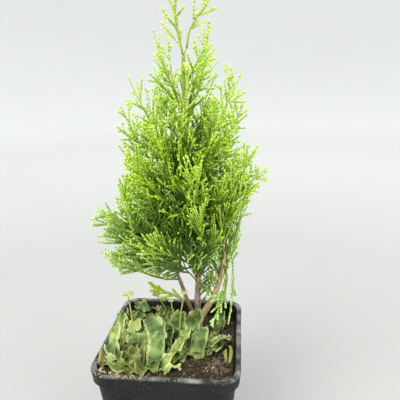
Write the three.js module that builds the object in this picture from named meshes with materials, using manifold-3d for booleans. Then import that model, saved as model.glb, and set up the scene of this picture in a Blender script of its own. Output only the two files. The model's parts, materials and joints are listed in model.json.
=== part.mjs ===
// Potted thuja: a young conifer in a square nursery pot, in millimetres, +Z up.
// The origin is the middle of the pot's flat underside; +X is the plant's right, +Y its back.
import * as THREE from "three";
import { mergeVertices } from "three/addons/utils/BufferGeometryUtils.js";
import Module from "manifold-3d";

const wasm = await Module();
wasm.setup();

// Clearance between neighbouring pieces
const gap = 0.3;

// Square nine-centimetre pot: half widths and corner radii of its walls
const pot = {
  height: 95,
  footHalf: 33,
  footCorner: 8,
  footBevel: 1.5,
  wallHalf: 42.2,
  rimHalf: 45,
  rimCorner: 11,
  rimLip: 3.4,
  rimEase: 0.8,
  skirt: 8,
  skirtStep: 2,
  wall: 1.3,
  floor: 1.6,
  holeRadius: 3.5,
  holeReach: [20, 12],
  holes: 8,
  holeSides: 10,
  cornerSteps: 4,
};

// Root ball: the soil that fills the pot, flat round the foot of the plant
const soil = {
  top: 84,
  bump: 1.6,
  flatShare: 0.2,
  rings: [0.82, 0.62, 0.4],
  edgeDrop: 0.6,
  perSide: 3,
  seatRadius: 7,
  seatDeep: 6,
};

// Trunk: its line through named heights, with a root flare at the soil
const trunk = {
  line: [
    [14, 23, 84.3], [13.6, 22.6, 105], [14.6, 22, 127], [8.8, 21.5, 158], [7.6, 21, 200], [8.6, 20.5, 245],
    [9.2, 20, 271],
  ],
  footRadius: 3.5,
  lowRadius: 2.2,
  tipRadius: 1,
  flareHeight: 7,
  sides: 7,
  steps: 14,
  ease: 1.25,
};

// Two basal stems that leave the trunk just above the soil
const rightStem = {
  line: [
    [14.4, 22.6, 88], [17.5, 22, 96.5], [21.4, 21, 104], [27, 20, 116], [30.8, 19.5, 128], [32.6, 19.5, 141],
    [32.4, 20, 158],
  ],
  lowRadius: 2.3,
  tipRadius: 1.1,
  sides: 6,
  steps: 9,
  ease: 1,
};
const leftStem = {
  line: [
    [13.6, 22.4, 91], [8.6, 20, 103], [5.4, 18.5, 115], [1.6, 17.5, 128], [-2, 17, 141], [-4.6, 17, 152],
  ],
  lowRadius: 1.5,
  tipRadius: 0.9,
  sides: 5,
  steps: 7,
  ease: 1,
};

// A basal stem carries the sprays of its own side that start between two heights
const carriers = {
  right: { azimuth: 0, within: 45, above: 110, below: 146 },
  left: { azimuth: 185, within: 48, above: 90, below: 150 },
};

// Boughs: the bare first part of some sprays
const bough = { radii: [1.3, 1.15, 0.9], steps: [0, 2, 5], sides: 5 };

// Outline of the crown: its reach from the trunk at some heights, on its left and its right,
// and its underside, which rises towards the front
const crown = {
  heights: [122, 130, 150, 170, 182, 198, 220, 236, 250, 268, 285, 298, 330],
  left: [30, 54, 61, 65, 58, 48, 46, 42, 39, 37, 22, 15, 10],
  right: [8, 16, 28, 40, 47, 50, 47, 42, 38, 34, 27, 17, 20],
  depthShare: 0.92,
  leastShare: 0.94,
  slack: 2.5,
  underside: 124,
  undersideRise: 0.45,
};

// Tiers of foliage up the trunk: heights of foot and tip, the arc of azimuths that a tier fills,
// the share of the first sprays' length that is a bare bough, and how far twigs fan out
const tiers = [
  { name: "low", foot: 131, tip: 153, count: 5, from: 96, to: 246, bough: 0, fan: 0.5 },
  { name: "skirt", foot: 132, tip: 173, count: 6, from: 12, to: 312, bough: 0.3, fan: 0.54 },
  { name: "belly", foot: 146, tip: 197, count: 6, from: 42, to: 342, bough: 0.3, fan: 0.54 },
  { name: "waist", foot: 160, tip: 218, count: 6, from: -10, to: 290, bough: 0.28, fan: 0.52 },
  { name: "shoulder", foot: 182, tip: 246, count: 6, from: 12, to: 312, bough: 0, fan: 0.5 },
  { name: "neck", foot: 210, tip: 266, count: 5, from: -5, to: 283, bough: 0, fan: 0.44 },
  { name: "top", foot: 238, tip: 288, count: 4, from: 45, to: 315, bough: 0, fan: 0.36 },
];

// Sprays that stand outside the tiers: leading shoots, the ends of the basal stems, low sprays
const singles = [
  {
    name: "leader_left",
    fan: 0.24,
    line: [[9, 20, 271.6], [6.5, 20, 284], [5, 20, 290], [5.8, 20, 302], [7, 20, 327]],
  },
  {
    name: "leader_right",
    fan: 0.24,
    line: [[11.4, 20, 275.4], [12.4, 20, 279], [13.4, 20, 286], [25.5, 20, 301], [37, 20, 318]],
  },
  {
    name: "right_stem",
    fan: 0.36,
    line: [[32.4, 20, 158], [34, 20.5, 172], [43, 20.5, 188], [61, 21, 204]],
  },
  {
    name: "left_stem",
    fan: 0.42,
    line: [[-4.6, 17, 152], [-12, 15.5, 158], [-26, 12, 165], [-40, 10, 176]],
  },
  {
    name: "droop_outer",
    fan: 0.18,
    line: [[33, 19.6, 150], [37.4, 16, 148], [39.2, 12.5, 138], [38.6, 10, 118], [36, 8, 98]],
  },
  {
    name: "droop_inner",
    fan: 0.3,
    line: [[32.2, 19.2, 138], [35, 14.5, 132], [31, 9, 112], [24.5, 4, 99]],
  },
  {
    name: "low_left",
    fan: 0.36,
    line: [[7.4, 19.6, 107], [-1, 16, 114], [-9, 13, 119], [-18, 11, 126]],
  },
];

// Small differences between one spray and the next, in degrees and millimetres
const chance = {
  azimuth: 14,
  tipHeight: 12,
  tilt: 25,
  twigAngle: 4,
  twigLength: 4,
  toothLength: 2.5,
  cordAngle: 8,
};

// Growth of one spray: a branching outline, drawn flat and laid on a twisted, cupped sheet
const growth = {
  bend: 1.35,
  bow: 3,
  stemSteps: 5,
  stemHalf: 0.95,
  stemThick: 1.7,
  thick: 1,
  tilt: 20,
  sideTilt: 40,
  twist: 50,
  cup: 0.006,
  twigFirst: 0.1,
  twigPitch: 4.8,
  twigHalf: 1.2,
  twigAngle: 33,
  twigRoom: 1.15,
  toothFirst: 4.5,
  toothPitch: 3.7,
  toothHalf: 1.15,
  toothAngle: 32,
  toothReach: 14,
  toothShare: 0.9,
  shortest: 4.5,
  apart: 0.35,
  stemPointPitch: 8,
  pointClear: 0.6,
  tipClear: 3,
  cordFirst: 0.12,
  cordPitch: 5.5,
  cordSink: 0.45,
  cordHalf: 1.15,
  cordAngle: 40,
  cordFan: 0.42,
  cordRoot: 3.5,
  cordWide: [0.75, 1.15, 0.7],
  cordThin: [0.6, 0.9, 0.6],
  cordLift: 0.35,
  cordShortest: 7,
  look: 0.06,
  sample: 0.7,
};

// Lengths that are tried for a branch, the longest first
const tries = [1, 0.8, 0.62, 0.45];

// Liverwort: ribbons on a mat over the soil, from foot to tip, and heads on thin stalks
const liverwort = {
  mat: [
    [-37.5, -30], [-30, -36], [-6, -36], [4, -32], [9, -20], [24, -12], [36.5, -12], [37.5, 3], [36, 12],
    [22, 9], [12, 14], [3, 19], [-2, 30], [-8, 36], [-30, 37], [-37, 30],
  ],
  matTop: 1.9,
  matDeep: 3,
  thick: 0.6,
  steps: 5,
  fold: 0.28,
  ruffle: 0.9,
  ruffleTurn: 2.3,
  stalkHalf: 0.55,
  headThick: 0.7,
  headSides: 7,
};

// Each ribbon: foot, tip, rise of the tip over the foot, arch between them, width
const ribbons = [
  { from: [-20, 24], to: [-6, -33], rise: 3, arch: 7, width: 12 },
  { from: [12, 10], to: [-2, -28], rise: 2, arch: 9, width: 7 },
  { from: [3, 8], to: [3, 15], rise: 19, arch: 0, width: 12 },
  { from: [12.5, 5], to: [14, 12], rise: 20, arch: 0, width: 12 },
  { from: [12, -10], to: [37, 8], rise: 6, arch: 5, width: 12 },
  { from: [17, -4], to: [25, -1], rise: 9, arch: 2, width: 9 },
  { from: [-22, 34], to: [-36, 30], rise: 9, arch: 3, width: 10 },
  { from: [-18, 28], to: [-34, 19], rise: 8, arch: 3, width: 9 },
  { from: [-31, 3], to: [-38, 19], rise: 11, arch: 2, width: 10 },
  { from: [-32, -12], to: [-38, 3], rise: 9, arch: 3, width: 9 },
  { from: [-26, -4], to: [-31, 16], rise: 8, arch: 4, width: 8 },
  { from: [-20, -16], to: [-27, 5], rise: 7, arch: 4, width: 8 },
  { from: [-15, -14], to: [-20, 15], rise: 7, arch: 4, width: 6 },
  { from: [-14, -32], to: [-31, -15], rise: 5, arch: 4, width: 10 },
  { from: [-30, -32], to: [-36.5, -15], rise: 6, arch: 3, width: 9 },
  { from: [-3, -12], to: [-4, 11], rise: 6, arch: 4, width: 9 },
  { from: [-16, 14], to: [-11, 29], rise: 6, arch: 3, width: 9 },
  { from: [6, -18], to: [4, -2], rise: 4, arch: 3, width: 8 },
  { from: [31, -12], to: [34, -2], rise: 11, arch: 1, width: 5 },
  { from: [-12, 30], to: [-9, 34.5], rise: 10, arch: 0, width: 6 },
];

// Each stalk: its line from the foot up, and the half width of its head
const stalks = [
  { line: [[-29.5, -6, 84.6], [-26.5, -5.5, 104], [-28, -5, 126]], head: 4.3 },
  { line: [[-9.5, 33, 84.6], [-13, 32, 96], [-18, 31, 106]], head: 3 },
  { line: [[-1.5, 14, 84.6], [-3, 16, 98], [-4.5, 17.5, 109]], head: 2 },
  { line: [[3, 3, 84.6], [4, 3, 104], [7.5, 3, 124]], head: 2.2 },
];

// Heights of a tier's feet, stepped so that neighbours stand well apart
const feet = { stagger: 7.6, range: 20, below: 0.4, within: 75, apart: 3.4, step: 1.2 };
const up = new THREE.Vector3(0, 0, 1);

function degrees(angle) {
  return (angle * Math.PI) / 180;
}

function seededRandom(seed) {
  let state = seed;
  return () => {
    state = (state * 16807) % 2147483647;
    return state / 2147483647;
  };
}

function vectors(points) {
  return points.map(([x, y, z]) => new THREE.Vector3(x, y, z));
}

function interpolate(heights, values, height) {
  const last = heights.length - 1;
  if (height <= heights[0]) return values[0];
  if (height >= heights[last]) return values[last];
  const upper = heights.findIndex((value) => value > height);
  const share = (height - heights[upper - 1]) / (heights[upper] - heights[upper - 1]);
  return values[upper - 1] + (values[upper] - values[upper - 1]) * share;
}

// A closed body through rings of equal size, with flat ends, or an apex at its end
function loft(rings, apex = null) {
  const size = rings[0].length;
  const points = rings.flat();
  const index = [];
  for (let ring = 0; ring < rings.length - 1; ring += 1) {
    for (let spot = 0; spot < size; spot += 1) {
      const next = (spot + 1) % size;
      const a = ring * size + spot;
      const b = ring * size + next;
      index.push(a, b, b + size, a, b + size, a + size);
    }
  }
  for (let spot = 1; spot < size - 1; spot += 1) index.push(0, spot + 1, spot);
  const lastRing = (rings.length - 1) * size;
  if (apex) {
    points.push(apex);
    for (let spot = 0; spot < size; spot += 1) {
      index.push(lastRing + spot, lastRing + ((spot + 1) % size), points.length - 1);
    }
  } else {
    for (let spot = 1; spot < size - 1; spot += 1) index.push(lastRing, lastRing + spot, lastRing + spot + 1);
  }
  const geometry = new THREE.BufferGeometry().setFromPoints(points);
  geometry.setIndex(index);
  return geometry;
}

function toSolid(geometry) {
  const bare = geometry.clone();
  bare.deleteAttribute("normal");
  bare.deleteAttribute("uv");
  const merged = mergeVertices(bare, 1e-5);
  return new wasm.Manifold(
    new wasm.Mesh({
      numProp: 3,
      vertProperties: new Float32Array(merged.attributes.position.array),
      triVerts: new Uint32Array(merged.index.array),
    }),
  );
}

function toGeometry(solid) {
  const mesh = solid.getMesh();
  const geometry = new THREE.BufferGeometry();
  geometry.setAttribute("position", new THREE.BufferAttribute(mesh.vertProperties, 3));
  geometry.setIndex(new THREE.BufferAttribute(mesh.triVerts, 1));
  return geometry;
}

function largestBody(solid) {
  return solid.decompose().reduce((kept, body) => (body.volume() > kept.volume() ? body : kept));
}

// A swept body: a section of some sides along a line, wide across and thin the other way
function sweep(points, halfWide, halfThin, across, sides, pointed = false) {
  const count = pointed ? points.length - 1 : points.length;
  const rings = [];
  for (let i = 0; i < count; i += 1) {
    const next = points[Math.min(i + 1, points.length - 1)];
    const ahead = next.clone().sub(points[Math.max(i - 1, 0)]).normalize();
    const wide = across.clone().addScaledVector(ahead, -across.dot(ahead)).normalize();
    const thin = ahead.clone().cross(wide);
    const ring = [];
    for (let side = 0; side < sides; side += 1) {
      const turn = (2 * Math.PI * side) / sides;
      ring.push(
        points[i]
          .clone()
          .addScaledVector(wide, Math.cos(turn) * halfWide[i])
          .addScaledVector(thin, Math.sin(turn) * halfThin[i]),
      );
    }
    rings.push(ring);
  }
  return loft(rings, pointed ? points[points.length - 1] : null);
}

// Limbs: the trunk, the basal stems and the boughs
function radiusAt(size, share, height) {
  const taper = size.lowRadius + (size.tipRadius - size.lowRadius) * share;
  if (!size.flareHeight) return taper;
  const flare = Math.max(0, 1 - height / size.flareHeight);
  return taper + (size.footRadius - size.lowRadius) * flare * flare;
}

function makeLimb(size) {
  const curve = new THREE.CatmullRomCurve3(vectors(size.line));
  const shares = Array.from({ length: size.steps + 1 }, (_, step) => (step / size.steps) ** size.ease);
  const points = shares.map((share) => curve.getPointAt(share));
  const radii = shares.map((share, step) => radiusAt(size, share, points[step].z - points[0].z));
  return { ...size, curve, points, radii };
}

function limbGeometry(limb, swell = 0) {
  const radii = limb.radii.map((radius) => radius + swell);
  const points = limb.points.map((point) => point.clone());
  if (swell) {
    const last = points.length - 1;
    points[last].add(points[last].clone().sub(points[last - 1]).setLength(swell * 0.9));
  }
  const shape = sweep(points, radii, radii, new THREE.Vector3(1, 0, 0), limb.sides);
  if (!limb.flareHeight) return shape;
  return flattenFoot(shape, limb);
}

// The trunk's foot is cut level where it stands on the soil
function flattenFoot(shape, limb) {
  const position = shape.attributes.position;
  for (let spot = 0; spot < limb.sides; spot += 1) position.setZ(spot, limb.points[0].z);
  return shape;
}

function limbPointAt(limb, height) {
  const upper = Math.max(1, limb.points.findIndex((point) => point.z > height));
  const low = limb.points[upper - 1];
  const high = limb.points[upper];
  return low.clone().lerp(high, (height - low.z) / (high.z - low.z));
}

const limbs = { trunk: makeLimb(trunk), right_stem: makeLimb(rightStem), left_stem: makeLimb(leftStem) };

// Crown outline
function outwardAt(azimuth) {
  return new THREE.Vector3(Math.cos(degrees(azimuth)), Math.sin(degrees(azimuth)), 0);
}

function reachAt(height, azimuth) {
  const leftShare = (1 - Math.cos(degrees(azimuth))) / 2;
  const left = interpolate(crown.heights, crown.left, height);
  const right = interpolate(crown.heights, crown.right, height);
  const depth = 1 - (1 - crown.depthShare) * Math.sin(degrees(azimuth)) ** 2;
  return (right + (left - right) * leftShare) * depth;
}

function axisAt(height) {
  const top = limbs.trunk.points[limbs.trunk.points.length - 1];
  return height >= top.z ? top.clone().setZ(height) : limbPointAt(limbs.trunk, Math.max(height, 85));
}

// The limb that carries a spray: a basal stem on its own side, otherwise the trunk
function isCarriedBy(carrier, foot, azimuth) {
  const turned = Math.abs(azimuth - carrier.azimuth) % 360;
  const apart = Math.min(turned, 360 - turned);
  return apart < carrier.within && foot > carrier.above && foot < carrier.below;
}

function carrierOf(foot, azimuth) {
  if (isCarriedBy(carriers.right, foot, azimuth)) return limbs.right_stem;
  if (isCarriedBy(carriers.left, foot, azimuth)) return limbs.left_stem;
  return limbs.trunk;
}

function spineThrough(foot, tip, side) {
  const spine = [];
  for (let step = 0; step <= growth.stemSteps; step += 1) {
    const share = step / growth.stemSteps;
    const point = foot.clone().lerp(tip, share);
    point.z = foot.z + (tip.z - foot.z) * share ** growth.bend;
    spine.push(point.addScaledVector(side, growth.bow * Math.sin(Math.PI * share)));
  }
  return spine;
}

function lengthOf(points) {
  let total = 0;
  for (let i = 1; i < points.length; i += 1) total += points[i].distanceTo(points[i - 1]);
  return total;
}

function pointAlong(points, share) {
  let left = lengthOf(points) * share;
  for (let i = 1; i < points.length; i += 1) {
    const step = points[i].distanceTo(points[i - 1]);
    if (left <= step || i === points.length - 1) return points[i - 1].clone().lerp(points[i], left / step);
    left -= step;
  }
  return points[0].clone();
}

function cutLine(points, from, to) {
  const cut = [];
  for (let step = 0; step <= growth.stemSteps; step += 1) {
    cut.push(pointAlong(points, from + ((to - from) * step) / growth.stemSteps));
  }
  return cut;
}

// A foot moves up its limb until it stands clear of the feet that point the same way
function clearFoot(height, azimuth, plans) {
  const crowded = plans.some((other) => {
    const turned = Math.abs(azimuth - other.azimuth) % 360;
    return Math.min(turned, 360 - turned) < feet.within && Math.abs(height - other.footHeight) < feet.apart;
  });
  return crowded ? clearFoot(height + feet.step, azimuth, plans) : height;
}

// Plan of every spray: its spine, and the bough that its first part may be
function planTier(tier, plans) {
  for (let spray = 0; spray < tier.count; spray += 1) {
    const random = seededRandom(1000 + plans.length * 97);
    random();
    const middle = tier.from + ((tier.to - tier.from) * spray) / (tier.count - 1);
    const azimuth = middle + (random() - 0.5) * chance.azimuth;
    const tipHeight = tier.tip + (random() - 0.5) * chance.tipHeight;
    const planned = tier.foot + ((spray * feet.stagger) % feet.range) - feet.below * feet.range;
    const footHeight = clearFoot(planned, azimuth, plans);
    const carrier = carrierOf(footHeight, azimuth);
    const outward = outwardAt(azimuth);
    const foot = limbPointAt(carrier, footHeight);
    const reach = reachAt(tipHeight, azimuth) * (crown.leastShare + (1 - crown.leastShare) * random());
    const tip = axisAt(tipHeight).addScaledVector(outward, reach);
    const side = outward.clone().cross(up).multiplyScalar(random() < 0.5 ? 1 : -1);
    const whole = spineThrough(foot, tip, side);
    const hasBough = tier.bough > 0 && spray % 2 === 0 && carrier === limbs.trunk;
    const share = hasBough ? tier.bough : 0;
    const gapShare = hasBough ? (1.6 * gap) / lengthOf(whole) : 0;
    plans.push({
      name: `foliage_${tier.name}_${spray + 1}`,
      boughName: hasBough ? `bough_${tier.name}_${spray + 1}` : null,
      boughLine: hasBough ? cutLine(whole, 0, share) : null,
      spine: cutLine(whole, share + gapShare, 1),
      fan: tier.fan,
      azimuth,
      footHeight,
      freeHang: false,
      random,
    });
  }
}

function planSingle(single, plans) {
  const random = seededRandom(1000 + plans.length * 97);
  random();
  const curve = new THREE.CatmullRomCurve3(vectors(single.line));
  plans.push({
    name: `foliage_${single.name}`,
    boughName: null,
    boughLine: null,
    spine: curve.getSpacedPoints(growth.stemSteps),
    fan: single.fan,
    freeHang: true,
    random,
  });
}

function planCrown() {
  const plans = [];
  tiers.forEach((tier) => planTier(tier, plans));
  singles.forEach((single) => planSingle(single, plans));
  return plans;
}

const plans = planCrown();

function boughOf(plan) {
  const points = bough.steps.map((step) => plan.boughLine[step]);
  return { points, radii: bough.radii, sides: bough.sides };
}

plans.filter((plan) => plan.boughName).forEach((plan) => {
  limbs[plan.boughName] = boughOf(plan);
});

// The sheet of a spray: it follows the spine, leans by its tilt and turns by its twist
function sheetOf(plan) {
  const { spine, random } = plan;
  const steep = spine[growth.stemSteps].clone().sub(spine[0]).normalize();
  const outward = steep.clone().setZ(0).normalize();
  const sideways = outward.clone().cross(up).normalize();
  return {
    spine,
    length: lengthOf(spine),
    sideways,
    rise: sideways.clone().cross(steep).normalize(),
    tilt: degrees(growth.tilt + growth.sideTilt * Math.abs(outward.x) + chance.tilt * random()),
    twist: degrees(growth.twist * (random() < 0.5 ? 1 : -1)),
    cup: growth.cup * (random() < 0.5 ? 1 : -1),
  };
}

function squareTo(direction, heading) {
  return direction.clone().addScaledVector(heading, -direction.dot(heading)).normalize();
}

function onSheet(sheet, along, aside, height = 0) {
  const share = THREE.MathUtils.clamp(along / sheet.length, 0, 1);
  const ahead = pointAlong(sheet.spine, Math.min(1, share + growth.look))
    .sub(pointAlong(sheet.spine, Math.max(0, share - growth.look)))
    .normalize();
  const turn = sheet.tilt + sheet.twist * (share - 0.5);
  const leaning = sheet.sideways.clone().multiplyScalar(Math.cos(turn));
  const across = squareTo(leaning.addScaledVector(sheet.rise, Math.sin(turn)), ahead);
  const normal = ahead.clone().cross(across);
  return pointAlong(sheet.spine, share)
    .addScaledVector(ahead, along - share * sheet.length)
    .addScaledVector(across, aside)
    .addScaledVector(normal, height + sheet.cup * aside * aside);
}

// Room of a spray: nearer to its own spine than to any other, clear of limbs, inside the crown
const nearest = new THREE.Vector3();
const segment = new THREE.Line3();

function distanceToLine(point, line) {
  let least = Infinity;
  for (let i = 1; i < line.length; i += 1) {
    segment.set(line[i - 1], line[i]);
    segment.closestPointToPoint(point, true, nearest);
    least = Math.min(least, nearest.distanceToSquared(point));
  }
  return Math.sqrt(least);
}

function hasRoom(point, half, plan) {
  const spare = 2 * (half + gap / 2) + growth.sample;
  const own = distanceToLine(point, plan.spine);
  if (plans.some((other) => other !== plan && distanceToLine(point, other.spine) - own < spare)) return false;
  const clear = half + gap + growth.sample / 2;
  const touches = (limb) => distanceToLine(point, limb.points) < limb.radii[0] + clear;
  if (Object.values(limbs).some(touches)) return false;
  if (plan.freeHang) return true;
  const offset = point.clone().sub(axisAt(point.z));
  if (point.z < crown.underside + crown.undersideRise * Math.max(0, -offset.y)) return false;
  const azimuth = (Math.atan2(offset.y, offset.x) * 180) / Math.PI;
  return Math.hypot(offset.x, offset.y) < reachAt(point.z, azimuth) + crown.slack;
}

// A branch on the flat drawing: it leaves its parent at a spot, to one hand, at an angle
function branchFrom(parent, spot, hand, angle, length, half) {
  const heading = parent.heading + hand * angle;
  const near = (parent.half - half * Math.cos(angle)) / Math.sin(angle);
  const far = (parent.half + half * Math.cos(angle)) / Math.sin(angle);
  const origin = spotOn(parent, spot);
  return { origin, heading, length, half, spot, hand, near, far, parent, children: [] };
}

function spotOn(branch, along, aside = 0) {
  return new THREE.Vector3(
    branch.origin.x + along * Math.cos(branch.heading) - aside * Math.sin(branch.heading),
    branch.origin.y + along * Math.sin(branch.heading) + aside * Math.cos(branch.heading),
    0,
  );
}

function lineOf(branch) {
  return [branch.origin, spotOn(branch, branch.length)];
}

function isFree(branch, grown, sheet, plan) {
  const others = grown.filter((other) => other !== branch.parent);
  const clear = branch.half + growth.apart;
  for (let along = 0; along < branch.length + growth.sample; along += growth.sample) {
    const spot = spotOn(branch, Math.min(along, branch.length));
    if (!hasRoom(onSheet(sheet, spot.x, spot.y), branch.half, plan)) return false;
    if (along < branch.far + growth.apart) continue;
    if (others.some((other) => distanceToLine(spot, lineOf(other)) < clear + other.half)) return false;
  }
  return true;
}

// A branch is shortened until it has room, and left out where it has none
function addBranch(parent, spot, hand, angle, length, half, grown, sheet, plan) {
  for (const share of tries) {
    const branch = branchFrom(parent, spot, hand, angle, length * share, half);
    if (branch.length - branch.far < growth.shortest) return null;
    if (!isFree(branch, grown, sheet, plan)) continue;
    parent.children.push(branch);
    grown.push(branch);
    return branch;
  }
  return null;
}

function growTeeth(twig, grown, sheet, plan) {
  let hand = twig.hand;
  for (let spot = growth.toothFirst; spot < twig.length - growth.shortest; spot += growth.toothPitch) {
    const room = (twig.length - spot) * growth.toothShare;
    const reach = Math.min(growth.toothReach, room) + chance.toothLength * plan.random();
    addBranch(twig, spot, hand, degrees(growth.toothAngle), reach, growth.toothHalf, grown, sheet, plan);
    hand = -hand;
  }
}

function growStem(sheet, plan) {
  const origin = new THREE.Vector3();
  const stem = { origin, heading: 0, length: sheet.length, half: growth.stemHalf, children: [] };
  const grown = [stem];
  let hand = plan.random() < 0.5 ? 1 : -1;
  const twigs = [];
  const last = stem.length - growth.shortest;
  for (let spot = growth.twigFirst * stem.length; spot < last; spot += growth.twigPitch) {
    const angle = degrees(growth.twigAngle + chance.twigAngle * plan.random());
    const room = stem.length * plan.fan * (growth.twigRoom - spot / stem.length);
    const length = room + chance.twigLength * plan.random();
    const twig = addBranch(stem, spot, hand, angle, length, growth.twigHalf, grown, sheet, plan);
    if (twig) twigs.push(twig);
    hand = -hand;
  }
  twigs.forEach((twig) => growTeeth(twig, grown, sheet, plan));
  plan.lines = grown.slice(1).map((branch) => ({
    points: lineOf(branch).map((spot) => onSheet(sheet, spot.x, spot.y)),
    half: branch.half,
  }));
  return stem;
}

// Three-sided cords stand out of the sheet on both of its faces
function growCords(sheet, plan) {
  const cords = [];
  let hand = plan.random() < 0.5 ? 1 : -1;
  const last = sheet.length - growth.shortest;
  for (let spot = growth.cordFirst * sheet.length; spot < last; spot += growth.cordPitch) {
    const root = onSheet(sheet, spot, 0, hand * (growth.thick / 2 - growth.cordSink));
    const ahead = onSheet(sheet, spot + 3, 0).sub(onSheet(sheet, spot - 3, 0)).normalize();
    const face = onSheet(sheet, spot, 1.5 * (plan.random() - 0.5), hand).sub(onSheet(sheet, spot, 0));
    const out = squareTo(face, ahead);
    const angle = degrees(growth.cordAngle + chance.cordAngle * (plan.random() - 0.5));
    const heading = ahead.clone().multiplyScalar(Math.cos(angle)).addScaledVector(out, Math.sin(angle));
    const room = sheet.length * growth.cordFan * (growth.twigRoom - spot / sheet.length);
    const cord = fitCord(root, heading, room + chance.twigLength * plan.random(), plan);
    if (cord) cords.push(sweep(cord, growth.cordWide, growth.cordThin, squareTo(up, ahead), 3));
    hand = -hand;
  }
  return cords;
}

// A cord bends upward at its middle
function fitCord(root, heading, full, plan) {
  const risen = heading.clone().addScaledVector(up, growth.cordLift).normalize();
  for (const share of tries) {
    const length = full * share;
    if (length < growth.cordShortest) return null;
    const middle = root.clone().addScaledVector(heading, 0.5 * length);
    const tip = middle.clone().addScaledVector(risen, 0.5 * length);
    const points = [root, middle, tip];
    if (!cordHasRoom(points, length, plan)) continue;
    plan.lines.push({ points, half: growth.cordHalf });
    return points;
  }
  return null;
}

function cordHasRoom(points, length, plan) {
  const clear = growth.cordHalf + growth.apart;
  for (let along = 0; along < length + growth.sample; along += growth.sample) {
    const spot = pointAlong(points, Math.min(1, along / length));
    if (!hasRoom(spot, growth.cordHalf, plan)) return false;
    if (along < growth.cordRoot) continue;
    if (plan.lines.some((line) => distanceToLine(spot, line.points) < line.half + clear)) return false;
  }
  return true;
}

// The two sides of a branch are chains of points; a child stands between two points of a chain
function chainOf(branch, hand, drawing) {
  const chain = [];
  branch.children.filter((child) => child.hand === hand).forEach((child) => {
    const rear = drawPoint(drawing, spotOn(child, child.near, hand * child.half));
    const front = drawPoint(drawing, spotOn(child, child.far, -hand * child.half));
    chain.push({ along: child.spot, index: rear, child, front });
    chain.push({ along: child.spot + growth.toothHalf, index: front });
  });
  if (!branch.parent) {
    const last = branch.length - growth.tipClear;
    for (let spot = growth.stemPointPitch; spot < last; spot += growth.stemPointPitch) {
      const isTaken = (child) => child.hand === hand && spot > child.near + child.spot - growth.pointClear
        && spot < child.far + child.spot + growth.pointClear;
      if (branch.children.some(isTaken)) continue;
      chain.push({ along: spot, index: drawPoint(drawing, spotOn(branch, spot, hand * branch.half)) });
    }
  }
  return chain.sort((a, b) => a.along - b.along);
}

function drawPoint(drawing, point) {
  drawing.points.push(point);
  return drawing.points.length - 1;
}

// Triangles across a branch, taken from the two chains in turn
function joinChains(left, right, drawing) {
  let i = 0;
  let j = 0;
  while (i < left.length - 1 || j < right.length - 1) {
    const leftNext = i < left.length - 1 ? left[i + 1].along : Infinity;
    const rightNext = j < right.length - 1 ? right[j + 1].along : Infinity;
    if (leftNext < rightNext) {
      addFace(right[j].index, left[i + 1].index, left[i].index, drawing);
      i += 1;
    } else {
      addFace(right[j].index, right[j + 1].index, left[i].index, drawing);
      j += 1;
    }
  }
}

function addFace(a, b, c, drawing) {
  if (a !== b && b !== c && c !== a) drawing.faces.push([a, b, c]);
}

// Draws a branch on its two base points and gives its outline from the right one round to the left
function drawBranch(branch, baseLeft, baseRight, drawing) {
  const tip = { along: branch.length, index: drawPoint(drawing, spotOn(branch, branch.length)) };
  const left = [{ along: 0, index: baseLeft }, ...chainOf(branch, 1, drawing), tip];
  const right = [{ along: 0, index: baseRight }, ...chainOf(branch, -1, drawing), tip];
  joinChains(left, right, drawing);
  const outward = right.flatMap(({ index, child, front }) =>
    child ? drawBranch(child, front, index, drawing).slice(0, -1) : [index],
  );
  const homeward = left.reverse().flatMap(({ index, child, front }) =>
    child ? drawBranch(child, index, front, drawing).slice(1) : [index],
  );
  return [...outward, ...homeward.slice(1)];
}

function sheetGeometry(sheet, plan) {
  const stem = growStem(sheet, plan);
  const drawing = { points: [], faces: [] };
  const baseLeft = drawPoint(drawing, spotOn(stem, 0, stem.half));
  const baseRight = drawPoint(drawing, spotOn(stem, 0, -stem.half));
  const outline = drawBranch(stem, baseLeft, baseRight, drawing);
  const count = drawing.points.length;
  const faceOf = (layer) => drawing.points.map((point) => {
    const stout = Math.abs(point.y) < 1.5 * growth.stemHalf ? growth.stemThick - growth.thick : 0;
    const thick = growth.thick + stout * Math.max(0, 1 - point.x / sheet.length);
    return onSheet(sheet, point.x, point.y, (layer * thick) / 2);
  });
  const index = drawing.faces.flatMap(([a, b, c]) => [a, b, c, a + count, c + count, b + count]);
  outline.forEach((a, order) => {
    const b = outline[(order + 1) % outline.length];
    index.push(a + count, b + count, b, a + count, b, a);
  });
  const geometry = new THREE.BufferGeometry().setFromPoints([...faceOf(1), ...faceOf(-1)]);
  geometry.setIndex(index);
  return geometry;
}

function sprayMesh(plan, swollenLimbs) {
  const sheet = sheetOf(plan);
  const solids = [sheetGeometry(sheet, plan), ...growCords(sheet, plan)].map(toSolid);
  const joined = solids.reduce((whole, piece) => whole.add(piece));
  const cleared = swollenLimbs.reduce((whole, limb) => whole.subtract(limb), joined);
  return toGeometry(largestBody(cleared));
}

// Pot
function roundedSquare(half, corner, height, perSide = 1) {
  const ring = [];
  const inner = half - corner;
  const centres = [[inner, inner], [-inner, inner], [-inner, -inner], [inner, -inner]];
  const onCorner = (side, step) => {
    const [x, y] = centres[side % 4];
    const angle = degrees(90 * side + (90 * step) / pot.cornerSteps);
    return new THREE.Vector3(x + corner * Math.cos(angle), y + corner * Math.sin(angle), height);
  };
  centres.forEach((_, side) => {
    for (let step = 0; step <= pot.cornerSteps; step += 1) ring.push(onCorner(side, step));
    const from = ring[ring.length - 1];
    const next = onCorner(side + 1, 0);
    for (let step = 1; step < perSide; step += 1) ring.push(from.clone().lerp(next, step / perSide));
  });
  return ring;
}

function innerHalf(height) {
  const share = (height - pot.floor) / (pot.height - pot.floor);
  const low = pot.footHalf - pot.wall;
  return low + (pot.rimHalf - pot.rimLip - low) * share;
}

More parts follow.
